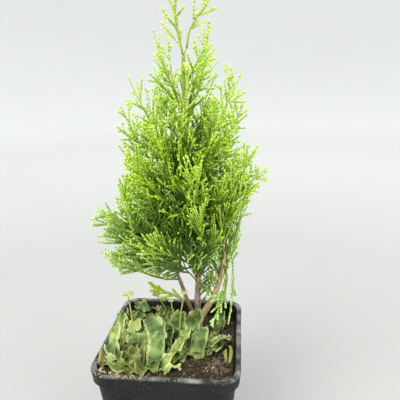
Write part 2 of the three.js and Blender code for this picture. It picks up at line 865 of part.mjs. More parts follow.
function potGeometry() {
  const underRim = pot.height - pot.skirt;
  const skirtHalf = pot.wallHalf + pot.skirtStep;
  const lip = pot.rimHalf - pot.rimLip;
  const shell = loft([
    roundedSquare(pot.footHalf - pot.footBevel, pot.footCorner - 1, 0),
    roundedSquare(pot.footHalf, pot.footCorner, pot.footBevel),
    roundedSquare(pot.wallHalf, pot.rimCorner - 1.5, underRim),
    roundedSquare(skirtHalf, pot.rimCorner - 0.5, underRim),
    roundedSquare(pot.rimHalf, pot.rimCorner, pot.height - pot.rimEase),
    roundedSquare(pot.rimHalf - pot.rimEase, pot.rimCorner - 0.4, pot.height),
    roundedSquare(lip + pot.rimEase, pot.rimCorner - 1.8, pot.height),
    roundedSquare(lip, pot.rimCorner - 2, pot.height - pot.rimEase),
    roundedSquare(innerHalf(pot.floor), pot.footCorner - 1, pot.floor),
  ]);
  let body = toSolid(shell);
  for (let hole = 0; hole < pot.holes; hole += 1) {
    const angle = (2 * Math.PI * (hole + 1)) / pot.holes;
    const reach = hole % 2 ? pot.holeReach[1] : pot.holeReach[0] * Math.SQRT2;
    const drill = new THREE.CylinderGeometry(pot.holeRadius, pot.holeRadius, 4 * pot.floor, pot.holeSides);
    drill.rotateX(Math.PI / 2);
    drill.translate(reach * Math.cos(angle), reach * Math.sin(angle), 0);
    body = body.subtract(toSolid(drill));
  }
  return toGeometry(body);
}

function rootBallGeometry() {
  const random = seededRandom(77);
  const bottom = pot.floor + gap;
  const clear = gap + 0.1;
  const foot = new THREE.Vector3(trunk.line[0][0], trunk.line[0][1], soil.top);
  const footCorner = pot.footCorner - 1 - clear;
  const foundation = roundedSquare(innerHalf(bottom) - clear, footCorner, bottom, soil.perSide);
  const top = soil.top - soil.edgeDrop;
  const edge = roundedSquare(innerHalf(soil.top) - clear, pot.rimCorner - 2 - clear, top, soil.perSide);
  const rings = [foundation, edge];
  soil.rings.forEach((share) => {
    rings.push(edge.map((point) => {
      const place = foot.clone().lerp(point, share);
      return place.setZ(soil.top + soil.bump * (random() - 0.45));
    }));
  });
  rings.push(edge.map((point) => foot.clone().lerp(point, soil.flatShare).setZ(soil.top)));
  const seat = new THREE.CylinderGeometry(soil.seatRadius, soil.seatRadius, soil.seatDeep, 16);
  seat.rotateX(Math.PI / 2);
  seat.translate(foot.x, foot.y, soil.top + soil.seatDeep / 2);
  return toGeometry(toSolid(loft(rings)).subtract(toSolid(seat)));
}

// Liverwort
function ribbonGeometry({ from, to, rise, arch, width }) {
  const foot = new THREE.Vector3(from[0], from[1], soil.top + 1);
  const run = new THREE.Vector3(to[0] - from[0], to[1] - from[1], 0);
  const across = run.clone().cross(up).normalize();
  const rings = [];
  for (let step = 0; step <= liverwort.steps; step += 1) {
    const share = step / liverwort.steps;
    const half = (width / 2) * (0.45 + 0.55 * Math.sin(Math.PI * (0.12 + 0.78 * share)));
    const centre = foot.clone().addScaledVector(run, share);
    centre.z += rise * share ** 1.4 + arch * Math.sin(Math.PI * share);
    const lift = half * liverwort.fold;
    const ruffle = liverwort.ruffle * Math.sin(liverwort.ruffleTurn * step);
    rings.push([
      centre.clone().addScaledVector(across, half).addScaledVector(up, lift + ruffle),
      centre.clone().addScaledVector(up, liverwort.thick),
      centre.clone().addScaledVector(across, -half).addScaledVector(up, lift - ruffle),
      centre.clone().addScaledVector(up, -liverwort.thick),
    ].reverse());
  }
  return loft(rings);
}

function stalkSolid({ line, head }) {
  const points = vectors(line);
  const halves = points.map(() => liverwort.stalkHalf);
  const stalk = toSolid(sweep(points, halves, halves, new THREE.Vector3(1, 0, 0), 4));
  const disc = new THREE.CylinderGeometry(head, 0.7 * head, 2 * liverwort.headThick, liverwort.headSides);
  disc.rotateX(Math.PI / 2);
  disc.translate(...points[points.length - 1].toArray());
  return stalk.add(toSolid(disc));
}

function matSolid() {
  const low = soil.top - liverwort.matDeep;
  const rings = [low, soil.top + liverwort.matTop].map((height) =>
    liverwort.mat.map(([x, y]) => new THREE.Vector3(x, y, height)),
  );
  return toSolid(loft(rings));
}

function liverwortGeometry(rootBall, swollenLimbs) {
  const blades = ribbons.map((ribbon) => toSolid(ribbonGeometry(ribbon)));
  const heap = [matSolid(), ...blades, ...stalks.map(stalkSolid)].reduce((whole, piece) => whole.add(piece));
  const raised = toSolid(rootBall).translate([0, 0, 1.5 * gap]);
  const cleared = [raised, ...swollenLimbs].reduce((whole, piece) => whole.subtract(piece), heap);
  return toGeometry(largestBody(cleared));
}

// Materials
function finish(colour, roughness) {
  return new THREE.MeshStandardMaterial({ color: colour, roughness, metalness: 0 });
}

const finishes = {
  plastic: () => finish(0x25282a, 0.5),
  soil: () => finish(0x3a2f26, 0.95),
  bark: () => finish(0x8a7a62, 0.85),
  paleBark: () => finish(0xb49a68, 0.8),
  foliage: () => finish(0x86ab3c, 0.6),
  shadedFoliage: () => finish(0x7f9d62, 0.6),
  liverwort: () => finish(0x6f7d3c, 0.55),
};

const plant = new THREE.Group();

function addNode(name, geometry, material) {
  const mesh = new THREE.Mesh(geometry, material);
  mesh.name = name;
  plant.add(mesh);
}

const swollen = Object.values(limbs).map((limb) => toSolid(limbGeometry(limb, gap)));

addNode("pot", potGeometry(), finishes.plastic());
const rootBall = rootBallGeometry();
addNode("root_ball", rootBall, finishes.soil());
addNode("liverwort", liverwortGeometry(rootBall, swollen), finishes.liverwort());
addNode("trunk", limbGeometry(limbs.trunk), finishes.bark());

// Each other limb is cut clear of the limbs before it
Object.entries(limbs).forEach(([name, limb], order) => {
  if (order === 0) return;
  const earlier = swollen.slice(0, order);
  const cut = earlier.reduce((whole, other) => whole.subtract(other), toSolid(limbGeometry(limb)));
  addNode(name, toGeometry(largestBody(cut)), name === "right_stem" ? finishes.paleBark() : finishes.bark());
});

const names = Object.keys(limbs);
plans.forEach((plan) => {
  const others = swollen.filter((_, order) => names[order] !== plan.boughName);
  const low = plan.name.includes("_low_");
  addNode(plan.name, sprayMesh(plan, others), low ? finishes.shadedFoliage() : finishes.foliage());
});

export default plant;
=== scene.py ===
# Potted thuja: a young feathery conifer in a square nursery pot
import json
import math
import bmesh
import bpy
import numpy as np
from mathutils import Matrix, Vector, noise

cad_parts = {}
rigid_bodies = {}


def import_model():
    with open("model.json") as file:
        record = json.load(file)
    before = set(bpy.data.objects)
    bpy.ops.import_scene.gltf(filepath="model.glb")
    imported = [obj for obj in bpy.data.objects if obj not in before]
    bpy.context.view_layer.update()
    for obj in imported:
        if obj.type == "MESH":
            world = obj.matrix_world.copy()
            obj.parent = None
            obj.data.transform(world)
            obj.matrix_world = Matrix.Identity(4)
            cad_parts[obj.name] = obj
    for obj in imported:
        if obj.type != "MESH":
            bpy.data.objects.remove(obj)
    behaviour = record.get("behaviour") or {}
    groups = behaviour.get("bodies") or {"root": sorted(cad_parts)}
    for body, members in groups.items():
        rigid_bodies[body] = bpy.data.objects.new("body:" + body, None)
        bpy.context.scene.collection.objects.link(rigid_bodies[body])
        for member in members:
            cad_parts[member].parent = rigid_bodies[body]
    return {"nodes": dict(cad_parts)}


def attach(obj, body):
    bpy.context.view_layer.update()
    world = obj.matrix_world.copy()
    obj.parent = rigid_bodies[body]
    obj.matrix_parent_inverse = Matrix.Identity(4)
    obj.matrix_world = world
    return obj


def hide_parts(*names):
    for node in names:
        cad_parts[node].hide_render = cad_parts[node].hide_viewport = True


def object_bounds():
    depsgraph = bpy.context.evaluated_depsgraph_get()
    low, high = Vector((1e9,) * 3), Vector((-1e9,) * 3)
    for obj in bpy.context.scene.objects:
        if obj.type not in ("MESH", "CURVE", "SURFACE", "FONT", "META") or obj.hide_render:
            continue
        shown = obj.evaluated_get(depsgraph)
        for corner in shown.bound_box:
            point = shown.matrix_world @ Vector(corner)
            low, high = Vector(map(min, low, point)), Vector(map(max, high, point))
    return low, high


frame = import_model()
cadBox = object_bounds()
mm = 0.001
upward = np.array([0.0, 0.0, 1.0])
print("frame loaded:", len(frame["nodes"]), "nodes")


# Shader maths: a Value is one output socket of a Finish, which is one material
class Value:
    def __init__(self, finish, socket):
        self.finish = finish
        self.socket = socket

    def __add__(self, other):
        return self.finish.math("ADD", self, other)

    def __sub__(self, other):
        return self.finish.math("SUBTRACT", self, other)

    def __mul__(self, other):
        return self.finish.math("MULTIPLY", self, other)

    def __rsub__(self, other):
        return self.finish.math("SUBTRACT", other, self)

    __radd__ = __add__
    __rmul__ = __mul__


class Finish:
    def __init__(self, name, **constants):
        self.material = bpy.data.materials.new(name)
        self.material.use_nodes = True
        self.tree = self.material.node_tree
        self.shader = self.tree.nodes["Principled BSDF"]
        for key, value in constants.items():
            self.shader.inputs[key.replace("_", " ")].default_value = value
        self.place = self.node("ShaderNodeTexCoord", output="Object")

    # Settings are the node's own fields, set first; its sockets take numbers, colours or links
    def node(self, kind, settings=None, sockets=None, output=0):
        made = self.tree.nodes.new(kind)
        for key, value in (settings or {}).items():
            setattr(made, key, value)
        for key, value in (sockets or {}).items():
            if isinstance(value, Value):
                self.tree.links.new(value.socket, made.inputs[key])
            else:
                made.inputs[key].default_value = value
        return Value(self, made.outputs[output])

    def math(self, operation, first, second):
        return self.node("ShaderNodeMath", {"operation": operation}, {0: first, 1: second})

    def noise(self, scale, detail=4, roughness=0.55, stretch=(1, 1, 1), distortion=0):
        place = self.node("ShaderNodeMapping", None, {"Vector": self.place, "Scale": stretch})
        sockets = {"Vector": place, "Scale": scale, "Detail": detail, "Roughness": roughness}
        return self.node("ShaderNodeTexNoise", None, sockets | {"Distortion": distortion})

    def cells(self, scale):
        return self.node("ShaderNodeTexVoronoi", None, {"Vector": self.place, "Scale": scale})

    def step(self, value, low, high):
        return self.node("ShaderNodeMapRange", None, {"Value": value, "From Min": low, "From Max": high})

    def height(self):
        return self.node("ShaderNodeSeparateXYZ", None, {"Vector": self.place}, output="Z")

    # A Mix node's sockets 6 and 7 are its two colours, and its output 2 is the mixed colour
    def mix(self, factor, first, second):
        return self.node("ShaderNodeMix", {"data_type": "RGBA"}, {0: factor, 6: first, 7: second}, output=2)

    def feed(self, key, value):
        self.tree.links.new(value.socket, self.shader.inputs[key])

    def bump(self, value, strength, distance):
        sockets = {"Height": value, "Strength": strength, "Distance": distance}
        self.feed("Normal", self.node("ShaderNodeBump", None, sockets))


# A colour as a picture shows it, made linear for the shader
def tint(red, green, blue):
    channels = [value / 255 for value in (red, green, blue)]
    return (*[c / 12.92 if c <= 0.04045 else ((c + 0.055) / 1.055) ** 2.4 for c in channels], 1)


# Meshes: one from a bmesh, one from arrays of points and triangles
def addPiece(name, mesh, finish, smooth=True):
    piece = bpy.data.objects.new(name, mesh)
    bpy.context.scene.collection.objects.link(piece)
    mesh.materials.append(finish.material)
    mesh.shade_smooth() if smooth else mesh.shade_flat()
    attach(piece, "root")
    return piece


def fromBmesh(name, bm):
    mesh = bpy.data.meshes.new(name)
    bm.to_mesh(mesh)
    bm.free()
    return mesh


def fromArrays(name, points, faces):
    mesh = bpy.data.meshes.new(name)
    mesh.vertices.add(len(points))
    mesh.vertices.foreach_set("co", np.ascontiguousarray(points * mm, dtype=np.float32).ravel())
    mesh.loops.add(faces.size)
    mesh.loops.foreach_set("vertex_index", faces.astype(np.int32).ravel())
    mesh.polygons.add(len(faces))
    mesh.polygons.foreach_set("loop_start", np.arange(0, faces.size, 3, dtype=np.int32))
    mesh.update(calc_edges=True)
    mesh.validate()
    return mesh


# The same small shape at many places: frames are (count, 3, 3) rows of side, forward and normal
def copies(shape, faces, places, frames, sizes):
    points = np.einsum("nij,nvi->nvj", frames, shape[None] * sizes[:, None, :]) + places[:, None, :]
    index = faces[None] + (np.arange(len(places)) * len(shape))[:, None, None]
    return points.reshape(-1, 3), index.reshape(-1, 3)


def unit(vectors):
    return vectors / np.maximum(np.linalg.norm(vectors, axis=-1, keepdims=True), 1e-9)


# From 0 at low to 1 at high, and level past both; low may be the larger
def ramp(values, low, high):
    return np.clip((values - low) / (high - low), 0, 1)


def within(values, ends):
    return (values > ends[0]) & (values < ends[1])


# Limbs: the same lines and radii as the solids have
limbLines = {
    "trunk": {
        "line": [(14, 23, 84.3), (13.6, 22.6, 105), (14.6, 22, 127), (8.8, 21.5, 158), (7.6, 21, 200),
                 (8.6, 20.5, 245), (9.2, 20, 271)],
        "low": 2.2, "tip": 1.0, "foot": 3.5, "flare": 7, "steps": 14, "ease": 1.25,
    },
    "right_stem": {
        "line": [(14.4, 22.6, 88), (17.5, 22, 96.5), (21.4, 21, 104), (27, 20, 116), (30.8, 19.5, 128),
                 (32.6, 19.5, 141), (32.4, 20, 158)],
        "low": 2.3, "tip": 1.1, "flare": 0, "steps": 9, "ease": 1,
    },
    "left_stem": {
        "line": [(13.6, 22.4, 91), (8.6, 20, 103), (5.4, 18.5, 115), (1.6, 17.5, 128), (-2, 17, 141),
                 (-4.6, 17, 152)],
        "low": 1.5, "tip": 0.9, "flare": 0, "steps": 7, "ease": 1,
    },
}
boughRadii = [1.3, 1.15, 0.9]
curveSteps = 41


# A smooth curve through a few points (centripetal Catmull-Rom)
def denseCurve(points):
    through = np.array(points, float)
    padded = np.vstack([2 * through[0] - through[1], through, 2 * through[-1] - through[-2]])
    line = []
    for i in range(len(through) - 1):
        before, start, end, after = padded[i:i + 4]
        first = np.linalg.norm(start - before) ** 0.5
        middle = np.linalg.norm(end - start) ** 0.5
        last = np.linalg.norm(after - end) ** 0.5
        steady = (end - start) / middle
        leave = middle * ((start - before) / first - (end - before) / (first + middle) + steady)
        arrive = middle * (steady - (after - start) / (middle + last) + (after - end) / last)
        t = np.linspace(0, 1, curveSteps)[:, None]
        cubic = start + leave * t + (3 * (end - start) - 2 * leave - arrive) * t ** 2
        line.append(cubic + (2 * (start - end) + leave + arrive) * t ** 3)
    return np.vstack([line[0], *[part[1:] for part in line[1:]]])


def lengthsAlong(points):
    return np.concatenate([[0], np.cumsum(np.linalg.norm(np.diff(points, axis=0), axis=1))])


def along(points, shares):
    lengths = lengthsAlong(points)
    spots = np.asarray(shares) * lengths[-1]
    return np.stack([np.interp(spots, lengths, points[:, axis]) for axis in range(3)], axis=-1)


def makeLimb(size):
    shares = (np.arange(size["steps"] + 1) / size["steps"]) ** size["ease"]
    points = along(denseCurve(size["line"]), shares)
    radii = size["low"] + (size["tip"] - size["low"]) * shares
    if size["flare"]:
        flare = np.maximum(0, 1 - (points[:, 2] - points[0, 2]) / size["flare"])
        radii = radii + (size["foot"] - size["low"]) * flare ** 2
    return {"points": points, "radii": radii}


limbs = {name: makeLimb(size) for name, size in limbLines.items()}

# Crown: its outline, its tiers of sprays and the sprays that stand outside the tiers
crown = {
    "heights": [122, 130, 150, 170, 182, 198, 220, 236, 250, 268, 285, 298, 330],
    "left": [30, 54, 61, 65, 58, 48, 46, 42, 39, 37, 22, 15, 10],
    "right": [8, 16, 28, 40, 47, 50, 47, 42, 38, 34, 27, 17, 20],
    "depthShare": 0.92,
    "leastShare": 0.94,
    "slack": 2.5,
    "underside": 124,
    "undersideRise": 0.45,
    "gap": 0.3,
}
tiers = [
    {"name": "low", "foot": 131, "tip": 153, "count": 5, "from": 96, "to": 246, "bough": 0, "fan": 0.5},
    {"name": "skirt", "foot": 132, "tip": 173, "count": 6, "from": 12, "to": 312, "bough": 0.3, "fan": 0.54},
    {"name": "belly", "foot": 146, "tip": 197, "count": 6, "from": 42, "to": 342, "bough": 0.3, "fan": 0.54},
    {"name": "waist", "foot": 160, "tip": 218, "count": 6, "from": -10, "to": 290, "bough": 0.28,
     "fan": 0.52},
    {"name": "shoulder", "foot": 182, "tip": 246, "count": 6, "from": 12, "to": 312, "bough": 0, "fan": 0.5},
    {"name": "neck", "foot": 210, "tip": 266, "count": 5, "from": -5, "to": 283, "bough": 0, "fan": 0.44},
    {"name": "top", "foot": 238, "tip": 288, "count": 4, "from": 45, "to": 315, "bough": 0, "fan": 0.36},
]
singles = [
    {"name": "leader_left", "fan": 0.24,
     "line": [(9, 20, 271.6), (6.5, 20, 284), (5, 20, 290), (5.8, 20, 302), (7, 20, 327)]},
    {"name": "leader_right", "fan": 0.24,
     "line": [(11.4, 20, 275.4), (12.4, 20, 279), (13.4, 20, 286), (25.5, 20, 301), (37, 20, 318)]},
    {"name": "right_stem", "fan": 0.36,
     "line": [(32.4, 20, 158), (34, 20.5, 172), (43, 20.5, 188), (61, 21, 204)]},
    {"name": "left_stem", "fan": 0.42,
     "line": [(-4.6, 17, 152), (-12, 15.5, 158), (-26, 12, 165), (-40, 10, 176)]},
    {"name": "droop_outer", "fan": 0.18,
     "line": [(33, 19.6, 150), (37.4, 16, 148), (39.2, 12.5, 138), (38.6, 10, 118), (36, 8, 98)]},
    {"name": "droop_inner", "fan": 0.3,
     "line": [(32.2, 19.2, 138), (35, 14.5, 132), (31, 9, 112), (24.5, 4, 99)]},
    {"name": "low_left", "fan": 0.36,
     "line": [(7.4, 19.6, 107), (-1, 16, 114), (-9, 13, 119), (-18, 11, 126)]},
]
feet = {"stagger": 7.6, "range": 20, "below": 0.4, "within": 75, "apart": 3.4, "step": 1.2}
carriers = [
    {"limb": "right_stem", "azimuth": 0, "within": 45, "above": 110, "below": 146},
    {"limb": "left_stem", "azimuth": 185, "within": 48, "above": 90, "below": 150},
]
differ = {"azimuth": 14, "tipHeight": 12, "tilt": 25, "twigAngle": 4, "twigLength": 4, "toothLength": 2.5}
growth = {
    "bend": 1.35, "bow": 3, "stemSteps": 5, "stemHalf": 0.95, "tilt": 20, "sideTilt": 40, "twist": 50,
    "cup": 0.006, "twigFirst": 0.1, "twigPitch": 4.8, "twigHalf": 1.2, "twigAngle": 33, "twigRoom": 1.15,
    "toothFirst": 4.5, "toothPitch": 3.7, "toothHalf": 1.15, "toothAngle": 32, "toothReach": 14,
    "toothShare": 0.9, "shortest": 4.5, "apart": 0.35, "look": 0.06, "sample": 0.7,
    "spinePoints": 6, "boughGaps": 1.6, "seed": 1000, "seedStep": 97, "tries": (1, 0.8, 0.62, 0.45),
}
axisFoot = 85  # below this height the crown's axis stands upright


# The source's own random numbers, so that both grow the same sprays
def seededRandom(seed):
    state = seed

    def draw():
        nonlocal state
        state = state * 16807 % 2147483647
        return state / 2147483647

    return draw


def outwardAt(azimuth):
    return np.array([math.cos(math.radians(azimuth)), math.sin(math.radians(azimuth)), 0])


def reachAt(heights, azimuths):
    leftShare = (1 - np.cos(azimuths)) / 2
    left = np.interp(heights, crown["heights"], crown["left"])
    right = np.interp(heights, crown["heights"], crown["right"])
    depth = 1 - (1 - crown["depthShare"]) * np.sin(azimuths) ** 2
    return (right + (left - right) * leftShare) * depth


def limbPointAt(limb, height):
    points = limb["points"]
    return np.array([np.interp(height, points[:, 2], points[:, axis]) for axis in (0, 1)] + [height])


def axisAt(heights):
    points = limbs["trunk"]["points"]
    spots = np.maximum(heights, axisFoot)
    return np.stack([np.interp(spots, points[:, 2], points[:, axis]) for axis in (0, 1)] + [heights], axis=-1)


def turnBetween(first, second):
    turned = abs(first - second) % 360
    return min(turned, 360 - turned)


def carrierOf(foot, azimuth):
    for carrier in carriers:
        near = turnBetween(azimuth, carrier["azimuth"]) < carrier["within"]
        if near and carrier["above"] < foot < carrier["below"]:
            return limbs[carrier["limb"]]
    return limbs["trunk"]


def clearFoot(height, azimuth, plans):
    for other in plans:
        near = turnBetween(azimuth, other["azimuth"]) < feet["within"]
        if near and abs(height - other["footHeight"]) < feet["apart"]:
            return clearFoot(height + feet["step"], azimuth, plans)
    return height


def drawFor(order):
    draw = seededRandom(growth["seed"] + order * growth["seedStep"])
    draw()
    return draw


def planTier(tier, plans):
    for spray in range(tier["count"]):
        draw = drawFor(len(plans))
        middle = tier["from"] + (tier["to"] - tier["from"]) * spray / (tier["count"] - 1)
        azimuth = middle + (draw() - 0.5) * differ["azimuth"]
        tipHeight = tier["tip"] + (draw() - 0.5) * differ["tipHeight"]
        planned = tier["foot"] + (spray * feet["stagger"]) % feet["range"] - feet["below"] * feet["range"]
        footHeight = clearFoot(planned, azimuth, plans)
        carrier = carrierOf(footHeight, azimuth)
        outward = outwardAt(azimuth)
        footPoint = limbPointAt(carrier, footHeight)
        reach = reachAt(tipHeight, math.radians(azimuth))
        reach = reach * (crown["leastShare"] + (1 - crown["leastShare"]) * draw())
        tipPoint = axisAt(tipHeight) + outward * reach
        side = np.cross(outward, upward) * (1 if draw() < 0.5 else -1)
        share = np.linspace(0, 1, growth["stemSteps"] + 1)[:, None]
        spine = footPoint + (tipPoint - footPoint) * share
        spine[:, 2:] = footPoint[2] + (tipPoint[2] - footPoint[2]) * share ** growth["bend"]
        spine = spine + side * growth["bow"] * np.sin(math.pi * share)
        hasBough = tier["bough"] > 0 and spray % 2 == 0 and carrier is limbs["trunk"]
        bough = tier["bough"] if hasBough else 0
        skipped = growth["boughGaps"] * crown["gap"] / lengthsAlong(spine)[-1] if hasBough else 0
        plans.append({
            "tier": tier["name"], "azimuth": azimuth, "footHeight": footHeight, "fan": tier["fan"],
            "boughName": f"bough_{tier['name']}_{spray + 1}" if hasBough else None,
            "boughLine": along(spine, np.linspace(0, bough, growth["spinePoints"])),
            "spine": along(spine, np.linspace(bough + skipped, 1, growth["spinePoints"])),
            "freeHang": False, "draw": draw,
        })


def planSingle(single, plans):
    plans.append({
        "tier": single["name"], "azimuth": 0, "footHeight": 0, "fan": single["fan"], "boughName": None,
        "spine": along(denseCurve(single["line"]), np.linspace(0, 1, growth["spinePoints"])),
        "freeHang": True, "draw": drawFor(len(plans)),
    })


plans = []
for tier in tiers:
    planTier(tier, plans)
for single in singles:
    planSingle(single, plans)
for plan in plans:
    if plan["boughName"]:
        limbs[plan["boughName"]] = {"points": plan["boughLine"][[0, 2, 5]], "radii": np.array(boughRadii)}
print("sprays planned:", len(plans), "limbs:", len(limbs))


# A sheet carries a spray: it follows the spine, leans by its tilt and turns by its twist
def sheetOf(plan, lean=0.0):
    spine, draw = plan["spine"], plan["draw"]
    steep = unit(spine[-1] - spine[0])
    outward = unit(steep * [1, 1, 0])
    sideways = unit(np.cross(outward, upward))
    tilt = growth["tilt"] + growth["sideTilt"] * abs(outward[0]) + differ["tilt"] * draw()
    return {
        "spine": spine,
        "length": lengthsAlong(spine)[-1],
        "sideways": sideways,
        "rise": unit(np.cross(sideways, steep)),
        "tilt": math.radians(tilt + lean),
        "twist": math.radians(growth["twist"]) * (1 if draw() < 0.5 else -1),
        "cup": growth["cup"] * (1 if draw() < 0.5 else -1),
    }


def onSheet(sheet, forward, aside):
    share = np.clip(forward / sheet["length"], 0, 1)
    before, after = np.maximum(0, share - growth["look"]), np.minimum(1, share + growth["look"])
    ahead = unit(along(sheet["spine"], after) - along(sheet["spine"], before))
    turn = (sheet["tilt"] + sheet["twist"] * (share - 0.5))[:, None]
    across = np.cos(turn) * sheet["sideways"] + np.sin(turn) * sheet["rise"]
    across = unit(across - ahead * np.sum(across * ahead, axis=1, keepdims=True))
    normal = np.cross(ahead, across)
    over = (forward - share * sheet["length"])[:, None]
    lift = (sheet["cup"] * aside ** 2)[:, None]
    return along(sheet["spine"], share) + ahead * over + across * aside[:, None] + normal * lift, normal


# Distances from points to many short straight stretches
def segmentsOf(lines):
    starts = np.vstack([line[:-1] for line in lines])
    ends = np.vstack([line[1:] for line in lines])
    firsts = np.cumsum([0] + [len(line) - 1 for line in lines[:-1]])
    return starts, ends - starts, firsts


def distancesTo(points, segments):
    starts, spans, firsts = segments
    offset = points[:, None, :] - starts[None]
    t = np.einsum("nmi,mi->nm", offset, spans) / np.maximum(np.einsum("mi,mi->m", spans, spans), 1e-12)
    gaps = offset - np.clip(t, 0, 1)[:, :, None] * spans[None]
    return np.minimum.reduceat(np.sqrt(np.einsum("nmi,nmi->nm", gaps, gaps)), firsts, axis=1)


spineSegments = segmentsOf([plan["spine"] for plan in plans])
limbSegments = segmentsOf([limb["points"] for limb in limbs.values()])
limbFeet = np.array([limb["radii"][0] for limb in limbs.values()])


def insideCrown(points, slack, sag=0.0):
    offset = points - axisAt(points[:, 2])
    azimuths = np.arctan2(offset[:, 1], offset[:, 0])
    underside = crown["underside"] - sag + crown["undersideRise"] * np.maximum(0, -offset[:, 1])
    near = np.hypot(offset[:, 0], offset[:, 1]) < reachAt(points[:, 2], azimuths) + slack
    return near & (points[:, 2] > underside)


def clearOfLimbs(points, clear):
    return np.all(distancesTo(points, limbSegments) > limbFeet[None] + clear, axis=1)


def hasRoom(points, half, plan, order):
    spare = 2 * (half + crown["gap"] / 2) + growth["sample"]
    gaps = distancesTo(points, spineSegments)
    others = np.delete(gaps, order, axis=1).min(axis=1)
    if np.any(others - gaps[:, order] < spare):
        return False
    if not np.all(clearOfLimbs(points, half + crown["gap"] + growth["sample"] / 2)):
        return False
    return plan["freeHang"] or bool(np.all(insideCrown(points, crown["slack"])))


# A branch on the flat drawing leaves its parent at a spot, to one hand, at an angle
def spotsOn(branch, forward):
    heading = branch["heading"]
    direction = np.array([math.cos(heading), math.sin(heading)])
    return branch["origin"] + np.asarray(forward)[..., None] * direction


# A strict drawing keeps to its spray's own space, as in the source; any other only to the crown
def isFree(branch, far, drawing):
    plan = drawing["plan"]
    steps = np.minimum(np.arange(0, branch["length"] + growth["sample"], growth["sample"]), branch["length"])
    flat = spotsOn(branch, steps)
    space = onSheet(drawing["sheet"], flat[:, 0], flat[:, 1])[0]
    if drawing["strict"] and not hasRoom(space, branch["half"], plan, drawing["order"]):
        return False
    if not drawing["strict"] and not plan["freeHang"] and not insideCrown(space[-1:], crown["slack"])[0]:
        return False
    others = [other for other in drawing["grown"] if other is not branch["parent"]]
    if not others:
        return True
    outer = flat[steps >= far + growth["apart"]]
    starts = np.array([other["origin"] for other in others])
    spans = np.array([spotsOn(other, other["length"]) for other in others]) - starts
    offset = outer[:, None] - starts[None]
    t = np.clip(np.sum(offset * spans, axis=2) / np.sum(spans ** 2, axis=1), 0, 1)
    gaps = np.linalg.norm(offset - t[..., None] * spans, axis=2)
    least = np.array([other["half"] for other in others]) + branch["half"] + growth["apart"]
    return not np.any(gaps < least)


# A branch that has no room is tried again shorter, and left out if none fits
def addBranch(parent, spot, hand, angle, length, half, drawing):
    far = (parent["half"] + half * math.cos(angle)) / math.sin(angle)
    for share in growth["tries"]:
        branch = {
            "origin": spotsOn(parent, spot), "heading": parent["heading"] + hand * angle, "half": half,
            "length": length * share, "hand": hand, "parent": parent, "level": parent["level"] + 1,
        }
        if branch["length"] - far < growth["shortest"]:
            return None
        if isFree(branch, far, drawing):
            drawing["grown"].append(branch)
            return branch
    return None


def growDrawing(sheet, plan, order, strict, fanShare):
    draw = plan["draw"]
    stem = {"origin": np.zeros(2), "heading": 0, "length": sheet["length"], "half": growth["stemHalf"],
            "parent": None, "level": 0, "hand": 1}
    drawing = {"grown": [stem], "sheet": sheet, "plan": plan, "order": order, "strict": strict}
    hand = 1 if draw() < 0.5 else -1
    twigs = []
    spot = growth["twigFirst"] * stem["length"]
    while spot < stem["length"] - growth["shortest"]:
        angle = math.radians(growth["twigAngle"] + differ["twigAngle"] * draw())
        room = stem["length"] * plan["fan"] * (growth["twigRoom"] - spot / stem["length"])
        length = fanShare * room + differ["twigLength"] * draw()
        twigs.append(addBranch(stem, spot, hand, angle, length, growth["twigHalf"], drawing))
        hand = -hand
        spot += growth["twigPitch"]
    for twig in filter(None, twigs):
        hand = twig["hand"]
        spot = growth["toothFirst"]
        while spot < twig["length"] - growth["shortest"]:
            room = (twig["length"] - spot) * growth["toothShare"]
            reach = min(growth["toothReach"], room) + differ["toothLength"] * draw()
            angle = math.radians(growth["toothAngle"])
            addBranch(twig, spot, hand, angle, reach, growth["toothHalf"], drawing)
            hand = -hand
            spot += growth["toothPitch"]
    return drawing["grown"]


# Finer shoots: every twig carries thin side shoots that bend up to the light, and some fork again.
# A second sheet through the same stem, leaned over, fills the spray out in depth
shoots = {
    "sheets": [{"lean": 0, "fan": 1.0}, {"lean": 68, "fan": 0.9}],
    "stemShare": 0.82, "stemPoints": 12,
    "side": {"level": 3, "pitch": 3.9, "first": 2.4, "angle": 36, "spread": 18, "reach": 24, "share": 0.92,
             "room": 4.2},
    "fork": {"level": 4, "pitch": 3.6, "first": 3.8, "angle": 40, "spread": 14, "reach": 7, "share": 0.7,
             "room": 2},
    "calmSide": {"pitch": 4.6, "angle": 25, "spread": 10, "reach": 24},
    "calm": {"tiers": ("low", "skirt", "left_stem"), "azimuth": 185, "share": 0.35},
    "forkChance": 0.28, "calmForks": 0.14, "uneven": 0.6, "nearTip": 1.5, "inherit": 0.6,
    "leastLength": 0.6, "lengthSpread": 0.5,
    "splay": 0.12, "bend": 0.05, "bendSpread": (0.1, 0.9), "bendChance": 0.5,
    "bendHeights": [140, 180], "bendShares": [0.3, 1], "hang": -0.05, "sheetRise": 0.014,
    "beadPitch": 1.9, "fewestBeads": 2, "bareShare": 0.14,
    "widths": [0.86, 0.86, 0.82, 0.78, 0.72], "leastWidth": 0.9, "widthSpread": 0.2, "taper": 0.16,
    "flat": 0.84, "snug": 0.6,
    "wideHeights": [165, 218], "angleShares": [0.62, 1.06], "forkShares": [0.4, 1.2],
    "reachShares": [1, 0.74],
    "thinHeights": [150, 225, 250, 275], "thinShares": [0.85, 0.62, 0.3, 0.14],
    "lush": {"leader_left": 0.4, "leader_right": 0.4, "low_left": 0.7, "droop_outer": 0.7,
             "droop_inner": 0.6},
    "short": {"leader_left": 0.4, "leader_right": 0.4, "low_left": 0.5, "droop_outer": 0.45,
              "droop_inner": 0.5},
    "plump": {"droop_outer": 1.25, "droop_inner": 1.25, "low_left": 1.35},
}
